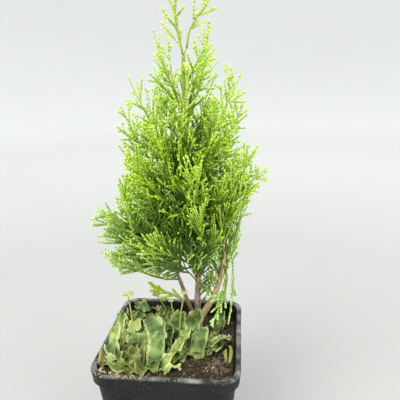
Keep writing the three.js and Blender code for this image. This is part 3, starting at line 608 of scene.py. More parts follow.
# Where shoots end: at the crown's ragged outline, above the pot, clear of the limbs and in the solids' box.
# Low on the left the outline is more even and lies higher; low on the right it reaches out further
limits = {
    "slack": 1.4, "ragged": 17, "raggedPower": 1.2, "sag": 3, "lowest": 92, "clear": 0.4, "boxSlack": 1.2,
    "lift": 7.5, "even": 0.7, "leftFade": (4, -8), "evenFade": (188, 178),
    "apron": 12, "apronFade": (166, 146), "apronFrom": 18,
}
lowCorner, highCorner = [np.array(corner) / mm for corner in cadBox]


# A bundle of shoots: a path for each, cut short where it leaves the crown
def bundleOf(points, counts, lengths, normals, levels, chances, plan):
    most = points.shape[1] - 1
    spots = points[:, 1:].reshape(-1, 3)
    fine = clearOfLimbs(spots, limits["clear"]) & (spots[:, 2] > limits["lowest"])
    fine &= np.all(spots > lowCorner - limits["boxSlack"], axis=1)
    fine &= np.all(spots < highCorner + limits["boxSlack"], axis=1)
    if not plan["freeHang"]:
        toLeft = ramp(spots[:, 0], *limits["leftFade"])
        short = np.repeat(limits["ragged"] * chances ** limits["raggedPower"], most)
        short = short * (1 - limits["even"] * toLeft * ramp(spots[:, 2], *limits["evenFade"]))
        apron = limits["apron"] * ramp(spots[:, 2], *limits["apronFade"])
        apron = apron * (spots[:, 0] > limits["apronFrom"])
        fine &= insideCrown(spots, limits["slack"] + apron - short, limits["sag"] - limits["lift"] * toLeft)
    sure = np.where(levels == 0, inner["sure"] if plan["tier"] == "inner" else counts, 0)
    fine = fine.reshape(-1, most) | (np.arange(most) < sure[:, None])
    fine &= np.arange(most) < counts[:, None]
    kept = np.where(fine.all(axis=1), most, fine.argmin(axis=1))
    return {"points": points, "kept": kept, "length": kept * lengths / counts, "pitch": lengths / counts,
            "normal": normals, "level": levels, "chance": chances}


def beadCounts(lengths):
    return np.maximum(shoots["fewestBeads"], np.round(lengths / shoots["beadPitch"]).astype(int))


# The stem, twigs and teeth of the drawing, on their sheet
def mainShoots(grown, sheet, plan, chance):
    lengths = np.array([branch["length"] for branch in grown])
    counts = beadCounts(lengths)
    forward = np.minimum(np.arange(counts.max() + 1) * (lengths / counts)[:, None], lengths[:, None])
    flat = np.stack([spotsOn(branch, row) for branch, row in zip(grown, forward)]).reshape(-1, 2)
    spots, normals = onSheet(sheet, flat[:, 0], flat[:, 1])
    spots[:, 2] += (shoots["hang"] if "droop" in plan["tier"] else 1) * shoots["sheetRise"] * flat[:, 1] ** 2
    levels = np.array([branch["level"] for branch in grown])
    spots, normals = [values.reshape(len(grown), -1, 3) for values in (spots, normals)]
    chances = chance.random(len(grown))
    made = bundleOf(spots, counts, lengths, normals[:, 1], levels, chances, plan)
    order = {id(branch): place for place, branch in enumerate(grown)}
    for place, branch in enumerate(grown):
        if branch["level"] > 1:
            parent = order.get(id(branch["parent"]))
            spot = np.linalg.norm(branch["origin"] - branch["parent"]["origin"])
            if parent is None or spot > made["length"][parent]:
                made["kept"][place], made["length"][place] = 0, 0
    return made


def sideShoots(parents, kind, keepShare, plan, chance):
    most = int(max(1, (parents["length"].max() - kind["first"]) / kind["pitch"]))
    size = (len(parents["length"]), most)
    first = np.where(parents["level"] == 0, shoots["bareShare"] * parents["length"], kind["first"])
    spots = first[:, None] + (np.arange(most) + shoots["uneven"] * chance.random(size)) * kind["pitch"]
    if kind["level"] == 4:
        feetHeights = parents["points"][:, :1, 2]
        keepShare = keepShare * np.interp(feetHeights, shoots["wideHeights"], shoots["forkShares"])
    valid = (spots < parents["length"][:, None] - shoots["nearTip"]) & (chance.random(size) < keepShare)
    owner, order = np.nonzero(valid)
    if not len(owner):
        return None
    spot = spots[owner, order]
    step = spot / parents["pitch"][owner]
    before = np.minimum(step.astype(int), parents["kept"][owner] - 1)
    start, after = parents["points"][owner, before], parents["points"][owner, before + 1]
    heading = unit(after - start)
    side = unit(np.cross(heading, parents["normal"][owner]))
    normal = np.cross(side, heading)
    hand = np.where((order + owner) % 2, 1, -1)
    angle = np.radians(kind["angle"] + kind["spread"] * (chance.random(len(owner)) - 0.5))
    angle *= np.interp(start[:, 2], shoots["wideHeights"], shoots["angleShares"])
    angle *= shoots["snug"] if "leader" in plan["tier"] else 1
    splay = shoots["splay"] * 2 * (chance.random(len(owner)) - 0.5)
    leave = np.cos(angle)[:, None] * heading + (hand * np.sin(angle))[:, None] * side
    leave = unit(leave + splay[:, None] * normal)
    room = kind["share"] * (parents["length"][owner] - spot) + kind["room"]
    lengths = np.minimum(kind["reach"], room)
    lengths = lengths * (shoots["leastLength"] + shoots["lengthSpread"] * chance.random(len(owner)))
    lengths *= np.interp(start[:, 2], shoots["wideHeights"], shoots["reachShares"])
    lengths *= shoots["short"].get(plan["tier"], 1)
    counts = beadCounts(lengths)
    pitch = (lengths / counts)[:, None]
    points = [start + (after - start) * (step - before)[:, None]]
    bendNow = chance.uniform(*shoots["bendSpread"]) + shoots["bendChance"] * chance.random((len(owner), 1))
    bend = shoots["bend"] * bendNow
    bend *= np.interp(start[:, 2:], shoots["bendHeights"], shoots["bendShares"])
    if "droop" in plan["tier"]:
        bend = shoots["hang"]
    for _ in range(counts.max()):
        points.append(points[-1] + leave * pitch)
        leave = unit(leave + upward * bend * pitch)
    chances = shoots["inherit"] * parents["chance"][owner]
    chances = chances + (1 - shoots["inherit"]) * chance.random(len(owner))
    levels = np.full(len(owner), kind["level"])
    return bundleOf(np.stack(points, axis=1), counts, lengths, normal, levels, chances, plan)


# One bead, which is a pair of scale leaves, for each step along a shoot
def beadsOf(made, plump, chance):
    most = made["points"].shape[1] - 1
    owner, order = np.nonzero(np.arange(most) < made["kept"][:, None])
    level, kept = made["level"][owner], made["kept"][owner]
    shown = (level > 0) | (order >= shoots["bareShare"] * kept)
    owner, order, level, kept = owner[shown], order[shown], level[shown], kept[shown]
    start, end = made["points"][owner, order], made["points"][owner, order + 1]
    heading = unit(end - start)
    roll = (chance.random(len(made["kept"])) - 0.5)[owner][:, None]
    normal = unit(made["normal"][owner] + roll * np.cross(made["normal"][owner], heading))
    side = unit(np.cross(heading, normal))
    frames = np.stack([side, heading, np.cross(side, heading)], axis=1)
    width = np.array(shoots["widths"])[level] * (1 - shoots["taper"] * order / kept)
    width = width * (shoots["leastWidth"] + shoots["widthSpread"] * chance.random(len(owner))) * plump
    sizes = np.stack([width, np.linalg.norm(end - start, axis=1), shoots["flat"] * width], axis=1)
    return {"place": start, "frame": frames, "size": sizes, "fromTip": kept - 1 - order, "level": level,
            "shootChance": made["chance"][owner]}


# Low on the left the shoots are long and hardly fork
def dressShoots(mains, keepShare, plan, chance):
    calm = shoots["calm"]
    toLeft = math.cos(math.radians(plan["azimuth"] - calm["azimuth"])) > calm["share"]
    isCalm = plan.get("isCalm") or (plan["tier"] in calm["tiers"] and toLeft)
    side = shoots["side"] | (shoots["calmSide"] if isCalm else {})
    forkChance = shoots["calmForks" if isCalm else "forkChance"]
    sides = sideShoots(mains, side, keepShare, plan, chance)
    forks = sideShoots(sides, shoots["fork"], forkChance * keepShare, plan, chance) if sides else None
    plump = shoots["plump"].get(plan["tier"], 1)
    made = [beadsOf(bundle, plump, chance) for bundle in (mains, sides, forks) if bundle]
    for part in made:
        part["azimuth"] = np.full(len(part["place"]), plan["azimuth"] % 360)
        part["tier"] = np.full(len(part["place"]), plan["tier"], dtype="<U12")
    return made


def growSheet(plan, order, layer, chance):
    form = shoots["sheets"][layer]
    sheet = sheetOf(plan, form["lean"])
    grown = growDrawing(sheet, plan, order, layer == 0, form["fan"])
    thin = np.interp(plan["spine"][3][2], shoots["thinHeights"], shoots["thinShares"])
    if layer:
        grown = [branch for branch in grown if branch["level"] and chance.random() < thin]
    if not grown:
        return [], []
    mains = mainShoots(grown, sheet, plan, chance)
    made = dressShoots(mains, shoots["lush"].get(plan["tier"], thin), plan, chance)
    forward = np.linspace(0, shoots["stemShare"], shoots["stemPoints"]) * sheet["length"]
    return made, [] if layer else [onSheet(sheet, forward, 0 * forward)[0]]


# Long steep shoots straight from the trunk and stems fill the middle of the crown. Each set has its limb
# and count, ranges of foot height, azimuth, lean from upright and length, and its form
inner = {"outward": 0.006, "keepShare": 0.65, "bare": 0.8, "sure": 4, "roll": 0.35, "stemPart": 3}
frontAzimuth = 270
innerSets = [
    ("trunk", 62, (128, 204), (0, 360), (10, 32), (26, 56), "plain"),
    ("trunk", 16, (206, 252), (0, 360), (26, 52), (22, 42), "plain"),
    ("trunk", 26, (188, 240), (0, 360), (5, 20), (24, 44), "plain"),
    ("trunk", 26, (138, 190), (232, 308), (8, 26), (26, 46), "plain"),
    ("trunk", 14, (146, 200), (-45, 40), (15, 40), (28, 50), "plain"),
    ("trunk", 26, (122, 152), (222, 318), (12, 40), (24, 42), "plain"),
    ("trunk", 16, (146, 212), (200, 290), (46, 78), (34, 50), "facing"),
    ("right_stem", 32, (124, 156), (0, 360), (10, 32), (26, 56), "plain"),
    ("left_stem", 14, (130, 150), (0, 360), (10, 32), (26, 56), "plain"),
    ("left_stem", 20, (133, 151), (140, 226), (58, 90), (32, 50), "flat"),
    ("trunk", 16, (136, 172), (120, 240), (44, 78), (36, 58), "flat"),
    ("right_stem", 8, (108, 128), (110, 250), (20, 62), (9, 17), "free"),
    ("trunk", 7, (106, 124), (-60, 60), (20, 60), (8, 15), "free"),
]


def growInner(chosen, chance):
    limb, count, heightRange, azimuthRange, leanRange, lengthRange, form = chosen
    heights = np.linspace(*heightRange, count)
    azimuths = np.radians(chance.uniform(*azimuthRange, count))
    outward = np.stack([np.cos(azimuths), np.sin(azimuths), 0 * azimuths], axis=1)
    lean = np.radians(chance.uniform(*leanRange, count))[:, None]
    lengths = chance.uniform(*lengthRange, count)
    counts = beadCounts(lengths)
    pitch = (lengths / counts)[:, None]
    leave = outward * np.sin(lean) + upward * np.cos(lean)
    flat = form == "flat"
    starts = np.array([limbPointAt(limbs[limb], height) for height in heights])
    points = [starts + outward * inner["bare"]]
    for _ in range(counts.max()):
        points.append(points[-1] + leave * pitch)
        leave = unit(leave + (upward if flat else outward) * inner["outward"] * pitch)
    points = np.stack(points, axis=1)
    across = chance.normal(size=leave.shape)
    normals = unit(np.cross(upward, outward) + inner["roll"] * across if flat else np.cross(leave, across))
    azimuth = frontAzimuth if form == "facing" else 0
    plan = {"tier": "inner", "azimuth": azimuth, "freeHang": form == "free", "isCalm": flat}
    mains = bundleOf(points, counts, lengths, normals, np.zeros(count, int), chance.random(count), plan)
    stems = [path[:max(3, kept // inner["stemPart"])] for path, kept in zip(points, mains["kept"])]
    return dressShoots(mains, inner["keepShare"], plan, chance), stems


leaderJoint = [(9.1, 20, 269.5), (9.9, 20, 272.6), (11.5, 20, 275.8)]  # the stem where the leaders part


def growFoliage():
    chance = np.random.default_rng(31)
    beads, stems = [], []
    for chosen in innerSets:
        made, stem = growInner(chosen, chance)
        beads += made
        stems += stem
    for order, plan in enumerate(plans):
        layers = 1 if plan["tier"] in shoots["lush"] else len(shoots["sheets"])
        for layer in range(layers):
            made, stem = growSheet(plan, order, layer, chance)
            beads += made
            stems += stem
    stems.append(np.array(leaderJoint))
    return {key: np.concatenate([part[key] for part in beads]) for key in beads[0]}, stems


beads, stems = growFoliage()
print("scale beads:", len(beads["place"]))


def hullShape(points):
    bm = bmesh.new()
    verts = [bm.verts.new(point) for point in points]
    bmesh.ops.convex_hull(bm, input=verts)
    bmesh.ops.triangulate(bm, faces=bm.faces[:])
    bmesh.ops.recalc_face_normals(bm, faces=bm.faces[:])
    bm.verts.index_update()
    shape = np.array([vert.co for vert in bm.verts])
    faces = np.array([[vert.index for vert in face.verts] for face in bm.faces])
    bm.free()
    return shape, faces


# One pair of scale leaves: a flattened bead, widest near its top, with its point in the next one
leafPair = {"foot": 0.72, "shoulder": 0.96, "shoulderAt": 0.74, "keel": 0.9, "keelAt": 0.45, "point": 1.4}


def leafShape():
    foot, side, keel = leafPair["foot"], leafPair["shoulder"], leafPair["keel"]
    high, low = leafPair["shoulderAt"], leafPair["keelAt"]
    return hullShape([(-foot, 0, 0), (foot, 0, 0), (-side, high, 0), (0, low, keel), (side, high, 0),
                      (0, low, -keel), (0, leafPair["point"], 0)])


foliageTints = {
    "Deep": (96, 132, 34),
    "DeepBlue": (108, 143, 62),
    "Mid": (140, 173, 48),
    "Fresh": (180, 214, 72),
    "Bright": (198, 230, 86),
    "Tips": (208, 235, 98),
    "Glaucous": (168, 203, 90),
    "GlaucousPale": (206, 238, 142),
    "Lime": (176, 214, 20),
    "Straw": (190, 194, 84),
}
paler, darker = 1.1, 0.88


def foliageFinish(name, colour):
    finish = Finish("scaleLeaves" + name, Roughness=0.5, Specular_IOR_Level=0.35)
    patches = finish.noise(420, 3)
    light = tint(*[min(255, channel * paler) for channel in colour])
    dark = tint(*[channel * darker for channel in colour])
    finish.feed("Base Color", finish.mix(finish.step(patches, 0.35, 0.65), dark, light))
    finish.bump(finish.noise(2600, 2), 0.25, 0.0002)
    return finish


# Tints are dealt out by shoot: paler outwards and darker inwards, which is painted light on the outer shoots
# and painted shade inside the crown; paler upwards and at the top, which is painted light from above; darker
# low at the front, which is painted shade; paler at the tips and bluish low on the left
tones = {
    "base": -0.19, "outward": 0.8, "mostOutward": 1.1, "byChance": 0.36, "atTip": 0.24, "tipBeads": 1,
    "upward": 0.42, "paintedUpwardLightHeights": (150, 250), "paintedTopLight": 0.18, "paintedTopLightHeights": (258, 270),
    "paintedFrontShade": 0.16, "paintedFrontShadeHeights": (172, 142), "paintedFrontShadeFrom": -14, "paintedFrontShadeDepth": 22,
    "steps": {"Mid": 0.3, "Fresh": 0.52, "Bright": 0.84, "Tips": 1.04},
    "blueSteps": {"DeepBlue": -9, "Glaucous": 0.34, "GlaucousPale": 0.72},
    "blueBelow": 158, "leftOf": -12, "leftBelow": 206, "leftRagged": 40, "rightOf": 34, "rightBelow": 170,
    "limeAzimuths": (215, 325), "limeHeights": (160, 226), "limeFrom": 0.5, "limeShare": 0.3,
    "innerLime": 0.6, "lowLeftLime": 0.8, "droopBlue": 0.85, "droopTip": 2, "straw": 0.14, "strawWithin": 0.7,
}


def sortBeads(beads):
    place, fromTip, chance, tiers = [beads[key] for key in ("place", "fromTip", "shootChance", "tier")]
    x, y, z = place.T
    offset = place - axisAt(z)
    reach = reachAt(z, np.arctan2(offset[:, 1], offset[:, 0]))
    outer = np.minimum(tones["mostOutward"], np.hypot(offset[:, 0], offset[:, 1]) / reach)
    # Painted shade deep in the crown, and painted light on the outer and upper shoots and at the top
    value = tones["outward"] * outer + tones["base"] + tones["upward"] * ramp(z, *tones["paintedUpwardLightHeights"])
    value += tones["paintedTopLight"] * ramp(z, *tones["paintedTopLightHeights"])
    value += tones["byChance"] * (chance - 0.5) + tones["atTip"] * (fromTip <= tones["tipBeads"])
    # Painted shade on the low sprays at the front
    inPaintedFrontShade = (x > tones["paintedFrontShadeFrom"]) & (y < tones["paintedFrontShadeDepth"])
    value -= tones["paintedFrontShade"] * ramp(z, *tones["paintedFrontShadeHeights"]) * inPaintedFrontShade
    names = np.full(len(place), "Deep", dtype="<U12")
    for name, limit in tones["steps"].items():
        names[value > limit] = name
    bluish = z < tones["blueBelow"]
    bluish |= (x < tones["leftOf"]) & (z < tones["leftBelow"] - tones["leftRagged"] * chance)
    bluish |= (x > tones["rightOf"]) & (z < tones["rightBelow"])
    for name, limit in tones["blueSteps"].items():
        names[bluish & (value > limit)] = name
    facing = within(beads["azimuth"], tones["limeAzimuths"]) & within(z, tones["limeHeights"])
    limeShare = np.where(tiers == "inner", tones["innerLime"], tones["limeShare"])
    names[facing & (chance < limeShare) & (value > tones["limeFrom"])] = "Lime"
    names[(tiers == "low_left") & (chance < tones["lowLeftLime"])] = "Lime"
    drooping = np.char.startswith(tiers, "droop") & (fromTip > tones["droopTip"])
    names[drooping & (chance < tones["droopBlue"])] = "Glaucous"
    names[(beads["level"] == 0) & (chance < tones["straw"]) & (outer < tones["strawWithin"])] = "Straw"
    return names


mostFaces = 195000  # in one piece


def buildFoliage(beads):
    shape, faces = leafShape()
    names = sortBeads(beads)
    most = mostFaces // len(faces)
    for name, colour in foliageTints.items():
        finish = foliageFinish(name, colour)
        chosen = np.flatnonzero(names == name)
        for part, start in enumerate(range(0, len(chosen), most)):
            some = chosen[start:start + most]
            points, index = copies(shape, faces, *[beads[key][some] for key in ("place", "frame", "size")])
            title = f"foliage{name}{part + 1}"
            addPiece(title, fromArrays(title, points, index), finish)
    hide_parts(*[node for node in frame["nodes"] if node.startswith("foliage_")])


# The edges round a ring are extruded, and the new ring keeps the order of the old one
def extrudeRing(bm, ring):
    known = set(ring)
    around = [edge for vert in ring for edge in vert.link_edges if edge.other_vert(vert) in known]
    extruded = bmesh.ops.extrude_edge_only(bm, edges=list(dict.fromkeys(around)))["geom"]
    fresh = [item for item in extruded if isinstance(item, bmesh.types.BMVert)]
    linked = {edge.other_vert(vert): vert for vert in fresh for edge in vert.link_edges
              if edge.other_vert(vert) in known}
    return [linked[vert] for vert in ring]


# Tubes along lines, by extruding one ring from place to place
def tubeInto(bm, points, radii, sides, relief=None):
    ring = bmesh.ops.create_circle(bm, cap_ends=True, segments=sides, radius=1)["verts"]
    ahead = unit(np.gradient(points, axis=0))
    for step, (point, radius) in enumerate(zip(points, radii)):
        if step:
            ring = extrudeRing(bm, ring)
        across = unit(np.cross(ahead[step], [0.13, 0.99, 0.05]))
        other = np.cross(ahead[step], across)
        for order, vert in enumerate(ring):
            angle = 2 * math.pi * order / sides
            swell = relief(angle, point, radius) if relief else 0
            spot = point + (math.cos(angle) * across + math.sin(angle) * other) * (radius + swell)
            vert.co = Vector(spot * mm)
    bm.faces.new(ring)


bark = {
    "sides": 22, "stepLength": 1.1, "cover": 1.02, "sunk": 2, "boughSides": 12, "boughSteps": 14,
    "ridge": 0.42, "ridgePitch": 2.6, "ridgeRise": 0.11, "flake": 0.3, "flakePitch": 0.55, "flakeTurn": 2.1,
    "green": (156, 176, 66), "greenFrom": 0.2, "greenFull": 0.262,
}
shootStems = {"foot": 0.66, "tip": 0.3, "sides": 7}


def barkRelief(angle, point, radius):
    spin = Vector((math.cos(angle), math.sin(angle), 0)) * bark["ridgePitch"]
    ridge = noise.noise(spin + Vector((0, 0, point[2] * bark["ridgeRise"])))
    flake = noise.noise(spin * bark["flakeTurn"] + Vector((9, 4, point[2] * bark["flakePitch"])))
    depth = min(1, radius / 2)
    return depth * (bark["ridge"] * (0.5 - abs(ridge) * 2) + bark["flake"] * flake)


def barkFinish(name, light, dark, moss):
    finish = Finish(name, Roughness=0.85, Specular_IOR_Level=0.2)
    furrows = finish.noise(900, 5, 0.65, stretch=(1, 1, 0.28), distortion=0.6)
    patches = finish.noise(160, 3)
    base = finish.mix(finish.step(furrows, 0.38, 0.62), tint(*dark), tint(*light))
    base = finish.mix(finish.step(patches, 0.55, 0.75) * 0.6, base, tint(*moss))
    young = finish.step(finish.height(), bark["greenFrom"], bark["greenFull"])
    base = finish.mix(young, base, tint(*bark["green"]))
    finish.feed("Base Color", base)
    finish.bump(furrows, 0.7, 0.0006)
    return finish


def buildLimbs():
    looks = {
        "trunk": barkFinish("barkTrunk", (208, 192, 168), (126, 106, 86), (158, 148, 116)),
        "right_stem": barkFinish("barkRightStem", (255, 230, 176), (184, 150, 96), (204, 196, 134)),
        "left_stem": barkFinish("barkLeftStem", (170, 150, 114), (108, 88, 60), (136, 136, 80)),
    }
    for name, finish in looks.items():
        limb = limbs[name]
        dense = denseCurve(limb["points"])
        shares = np.linspace(0, 1, int(lengthsAlong(dense)[-1] / bark["stepLength"]))
        limbShares = lengthsAlong(limb["points"]) / lengthsAlong(limb["points"])[-1]
        radii = bark["cover"] * np.interp(shares, limbShares, limb["radii"])
        bm = bmesh.new()
        tubeInto(bm, along(dense, shares), radii, bark["sides"], barkRelief)
        lowest = limb["points"][0][2] - (0 if name == "trunk" else bark["sunk"])
        for vert in bm.verts:
            vert.co.z = max(vert.co.z, lowest * mm)
        bmesh.ops.recalc_face_normals(bm, faces=bm.faces[:])
        slot = "pale_bark" if name == "right_stem" else "bark"
        piece = addPiece(name + "Bark", fromBmesh(name + "Bark", bm), finish)
        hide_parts(name)
    bm = bmesh.new()
    boughs = [name for name in limbs if name.startswith("bough")]
    radii = np.linspace(boughRadii[0], boughRadii[-1], bark["boughSteps"])
    for name in boughs:
        points = along(limbs[name]["points"], np.linspace(0, 1, bark["boughSteps"]))
        tubeInto(bm, points, radii, bark["boughSides"], barkRelief)
    bmesh.ops.recalc_face_normals(bm, faces=bm.faces[:])
    piece = addPiece("boughBark", fromBmesh("boughBark", bm), looks["left_stem"])
    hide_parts(*boughs)
    print("limbs with bark:", len(looks), "boughs:", len(boughs))


def buildShootStems(stems):
    finish = barkFinish("shootStems", (140, 158, 66), (98, 108, 44), (128, 150, 54))
    bm = bmesh.new()
    for points in stems:
        radii = np.linspace(shootStems["foot"], shootStems["tip"], len(points))
        tubeInto(bm, points, radii, shootStems["sides"])
    bmesh.ops.recalc_face_normals(bm, faces=bm.faces[:])
    addPiece("shootStems", fromBmesh("shootStems", bm), finish)
    print("shoot stems:", len(stems))


# Pot: rings of a rounded square, bridged from the foot over the rim and down the inside
pot = {
    "height": 95, "footHalf": 33, "footCorner": 8, "footBevel": 1.5, "wallHalf": 42.2, "wallCorner": 9.5,
    "wallSteps": 9, "skirt": 8, "skirtStep": 2, "skirtCorner": 10.5, "rimHalf": 45, "rimCorner": 11,
    "rimLip": 3.4, "rimEase": 0.8, "wall": 1.3, "floor": 1.6, "insideCorners": (7, 9),
    "insideHeights": (88, 80, 60, 35, 12),
    "holes": 8, "holeRadius": 3.5, "holeSides": 24, "holeReach": (20, 12), "cornerSteps": 10,
    "sideSteps": 16, "bow": 0.8, "bowFrom": 60, "bowShares": (0.4, 0.6), "bowScale": 26,
    "rimDip": 0.55, "dipFrom": 86, "dipScale": 38, "sharp": 32, "paleLipWearAndHighlightHeights": (0.0934, 0.0947),
}


def squareRing(half, corner, height):
    spots = []
    inner = half - corner
    for side, (x, y) in enumerate([(inner, inner), (-inner, inner), (-inner, -inner), (inner, -inner)]):
        for step in range(pot["cornerSteps"] + 1):
            angle = math.radians(90 * side + 90 * step / pot["cornerSteps"])
            spots.append((x + corner * math.cos(angle), y + corner * math.sin(angle), height))
        start = np.array(spots[-1])
        turn = math.radians(90 * side + 90)
        end = start + 2 * inner * np.array([-math.sin(turn), math.cos(turn), 0])
        for step in range(1, pot["sideSteps"]):
            spots.append(tuple(start + (end - start) * step / pot["sideSteps"]))
    return spots


def ringInto(bm, spots):
    verts = [bm.verts.new(Vector(spot) * mm) for spot in spots]
    return [bm.edges.new((vert, verts[(order + 1) % len(verts)])) for order, vert in enumerate(verts)]


def innerHalf(height):
    low = pot["footHalf"] - pot["wall"]
    share = (height - pot["floor"]) / (pot["height"] - pot["floor"])
    return low + (pot["rimHalf"] - pot["rimLip"] - low) * share


# Each ring has its half width, the radius of its corners and its height
def potProfile():
    top, under = pot["height"], pot["height"] - pot["skirt"]
    foot, wall, rim, ease = pot["footHalf"], pot["wallHalf"], pot["rimHalf"], pot["rimEase"]
    bevel, lip, skirt = pot["footBevel"], rim - pot["rimLip"], wall + pot["skirtStep"]
    footCorner, wallCorner, skirtCorner = pot["footCorner"], pot["wallCorner"], pot["skirtCorner"]
    rings = [(foot - bevel, footCorner - 1, 0), (foot - 0.4, footCorner - 0.3, 0.4)]
    rings += [(foot, footCorner, bevel)]
    for step in range(1, pot["wallSteps"]):
        share = step / pot["wallSteps"]
        corner = footCorner + (wallCorner - footCorner) * share
        rings.append((foot + (wall - foot) * share, corner, bevel + (under - 0.5 - bevel) * share))
    rings += [(wall, wallCorner, under - 0.5), (wall + 0.1, wallCorner, under)]
    rings += [(skirt - 0.3, skirtCorner - 0.1, under), (skirt, skirtCorner, under + 0.4)]
    rings += [(skirt + 0.3, skirtCorner + 0.2, under + 3.6)]
    rings += [(rim - 0.1, pot["rimCorner"] - 0.1, top - 1.4), (rim, pot["rimCorner"], top - ease)]
    rings += [(rim - 0.25, pot["rimCorner"] - 0.1, top - 0.22), (rim - ease, pot["rimCorner"] - 0.4, top)]
    rings += [(lip + ease + 0.6, 9.6, top - 0.05), (lip + 0.35, 9.2, top - 0.3), (lip, 9, top - 1.2)]
    low, high = pot["insideCorners"]
    for height in (*pot["insideHeights"], pot["floor"]):
        rings.append((innerHalf(height), low + (high - low) * height / top, height))
    return rings


def potFinish():
    finish = Finish("potPlastic", Specular_IOR_Level=0.3)
    wearAndRimHighlight = finish.noise(95, 5, 0.6)
    streaks = finish.noise(60, 4, 0.6, stretch=(1, 1, 0.16))
    specks = finish.cells(620)
    fine = finish.noise(1500, 3)
    # A pale top lip: partly wear and dust, partly a painted highlight where the lip catches the light
    paleLipWearAndHighlight = finish.step(finish.height(), *pot["paleLipWearAndHighlightHeights"])
    specked = finish.step(specks, 0.2, 0.06) * finish.step(wearAndRimHighlight, 0.46, 0.6)
    base = finish.mix(finish.step(streaks, 0.35, 0.7), tint(19, 20, 18), tint(31, 32, 29))
    base = finish.mix(finish.step(fine, 0.58, 0.74) * 0.3, base, tint(78, 79, 74))
    base = finish.mix(specked * 0.75, base, tint(150, 146, 132))
    rim = finish.mix(finish.step(wearAndRimHighlight, 0.42, 0.66), tint(44, 47, 45), tint(150, 154, 148))
    base = finish.mix(paleLipWearAndHighlight * 0.9, base, rim)
    finish.feed("Base Color", base)
    finish.feed("Roughness", 0.42 + 0.3 * finish.step(wearAndRimHighlight, 0.3, 0.7))
    finish.bump(finish.noise(1100, 4) + 0.8 * finish.noise(220, 3), 0.22, 0.0005)
    return finish


def buildPot():
    bm = bmesh.new()
    rings = [ringInto(bm, squareRing(*ring)) for ring in potProfile()]
    for lower, upper in zip(rings, rings[1:]):
        bmesh.ops.bridge_loops(bm, edges=lower + upper)
    bmesh.ops.contextual_create(bm, geom=rings[0])
    bmesh.ops.contextual_create(bm, geom=rings[-1])
    bmesh.ops.recalc_face_normals(bm, faces=bm.faces[:])
    for vert in bm.verts:
        height = vert.co.z / mm
        bow = pot["bow"] * ramp(height, pot["bowFrom"], pot["height"])
        steady, swaying = pot["bowShares"]
        sway = noise.noise(vert.co * pot["bowScale"])
        dip = noise.noise(vert.co * pot["dipScale"] + Vector((5, 1, 2)))
        outward = Vector((vert.co.x, vert.co.y, 0)).normalized()
        vert.co -= outward * bow * mm * (steady + swaying * sway)
        if height > pot["dipFrom"]:
            vert.co.z -= mm * pot["rimDip"] * (0.5 + dip)
    piece = bpy.data.objects.new("drill", fromBmesh("drill", drillHoles()))
    bpy.context.scene.collection.objects.link(piece)
    body = bpy.data.objects.new("potBlank", fromBmesh("potBlank", bm))
    bpy.context.scene.collection.objects.link(body)
    cut = body.modifiers.new("holes", "BOOLEAN")
    cut.operation, cut.object, cut.solver = "DIFFERENCE", piece, "EXACT"
    bpy.context.view_layer.update()
    mesh = bpy.data.meshes.new_from_object(body.evaluated_get(bpy.context.evaluated_depsgraph_get()))
    for spare in (piece, body):
        bpy.data.objects.remove(spare)
    mesh.materials.clear()
    shell = addPiece("potShell", mesh, potFinish())
    mesh.set_sharp_from_angle(angle=math.radians(pot["sharp"]))
    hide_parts("pot")
    print("pot:", len(mesh.polygons), "faces")


def drillHoles():
    bm = bmesh.new()
    for hole in range(pot["holes"]):
        angle = 2 * math.pi * (hole + 1) / pot["holes"]
        reach = pot["holeReach"][1] if hole % 2 else pot["holeReach"][0] * math.sqrt(2)
        place = Matrix.Translation(Vector((reach * math.cos(angle), reach * math.sin(angle), 0)) * mm)
        radius = pot["holeRadius"] * mm
        bmesh.ops.create_cone(bm, cap_ends=True, segments=pot["holeSides"], radius1=radius, radius2=radius,
                              depth=4 * pot["floor"] * mm, matrix=place)
    return bm


# Soil: an uneven top that follows the pot's inside, with crumbs and fibres on it
soil = {
    "top": 84, "waist": 40, "bottom": 1.9, "grid": 96, "clear": 0.25, "corner": 8.6, "seat": 6,
    "swell": 1.1, "swellScale": 0.05, "crumbSwell": 0.7, "crumbScale": 0.45,
    "heapLeft": 5, "heapFront": 4.6, "heapReach": 40, "heapPower": 1.5,
}
trunkFoot = np.array([14.0, 23.0])


def soilHeight(x, y):
    broad = noise.noise(Vector((x * soil["swellScale"], y * soil["swellScale"], 3)))
    fine = noise.noise(Vector((x * soil["crumbScale"], y * soil["crumbScale"], 7)))
    near = min(1, math.hypot(x - trunkFoot[0], y - trunkFoot[1]) / soil["seat"])
    left, front = [max(0, -value / soil["heapReach"]) ** soil["heapPower"] for value in (x, y)]
    heap = soil["heapLeft"] * left + soil["heapFront"] * front
    return soil["top"] + near * (soil["swell"] * broad + soil["crumbSwell"] * fine + heap)


# A place in the square from -1 to 1, taken to the pot's inside with its round corners
def roundedPlace(x, y, half, corner):
    inner = half - corner
    px, py = x * half, y * half
    dx, dy = abs(px) - inner, abs(py) - inner
    if dx > 0 and dy > 0:
        shrink = max(dx, dy) / math.hypot(dx, dy)
        px = math.copysign(inner + dx * shrink, px)
        py = math.copysign(inner + dy * shrink, py)
    return px, py


def soilFinish(name, dark, light, size):
    finish = Finish(name, Roughness=0.95, Specular_IOR_Level=0.25)
    clods = finish.noise(size, 6, 0.7)
    base = finish.mix(finish.step(clods, 0.32, 0.68), tint(*dark), tint(*light))
    finish.feed("Base Color", base)
    finish.bump(finish.noise(size * 2.2, 5, 0.7), 0.8, 0.0008)
    return finish


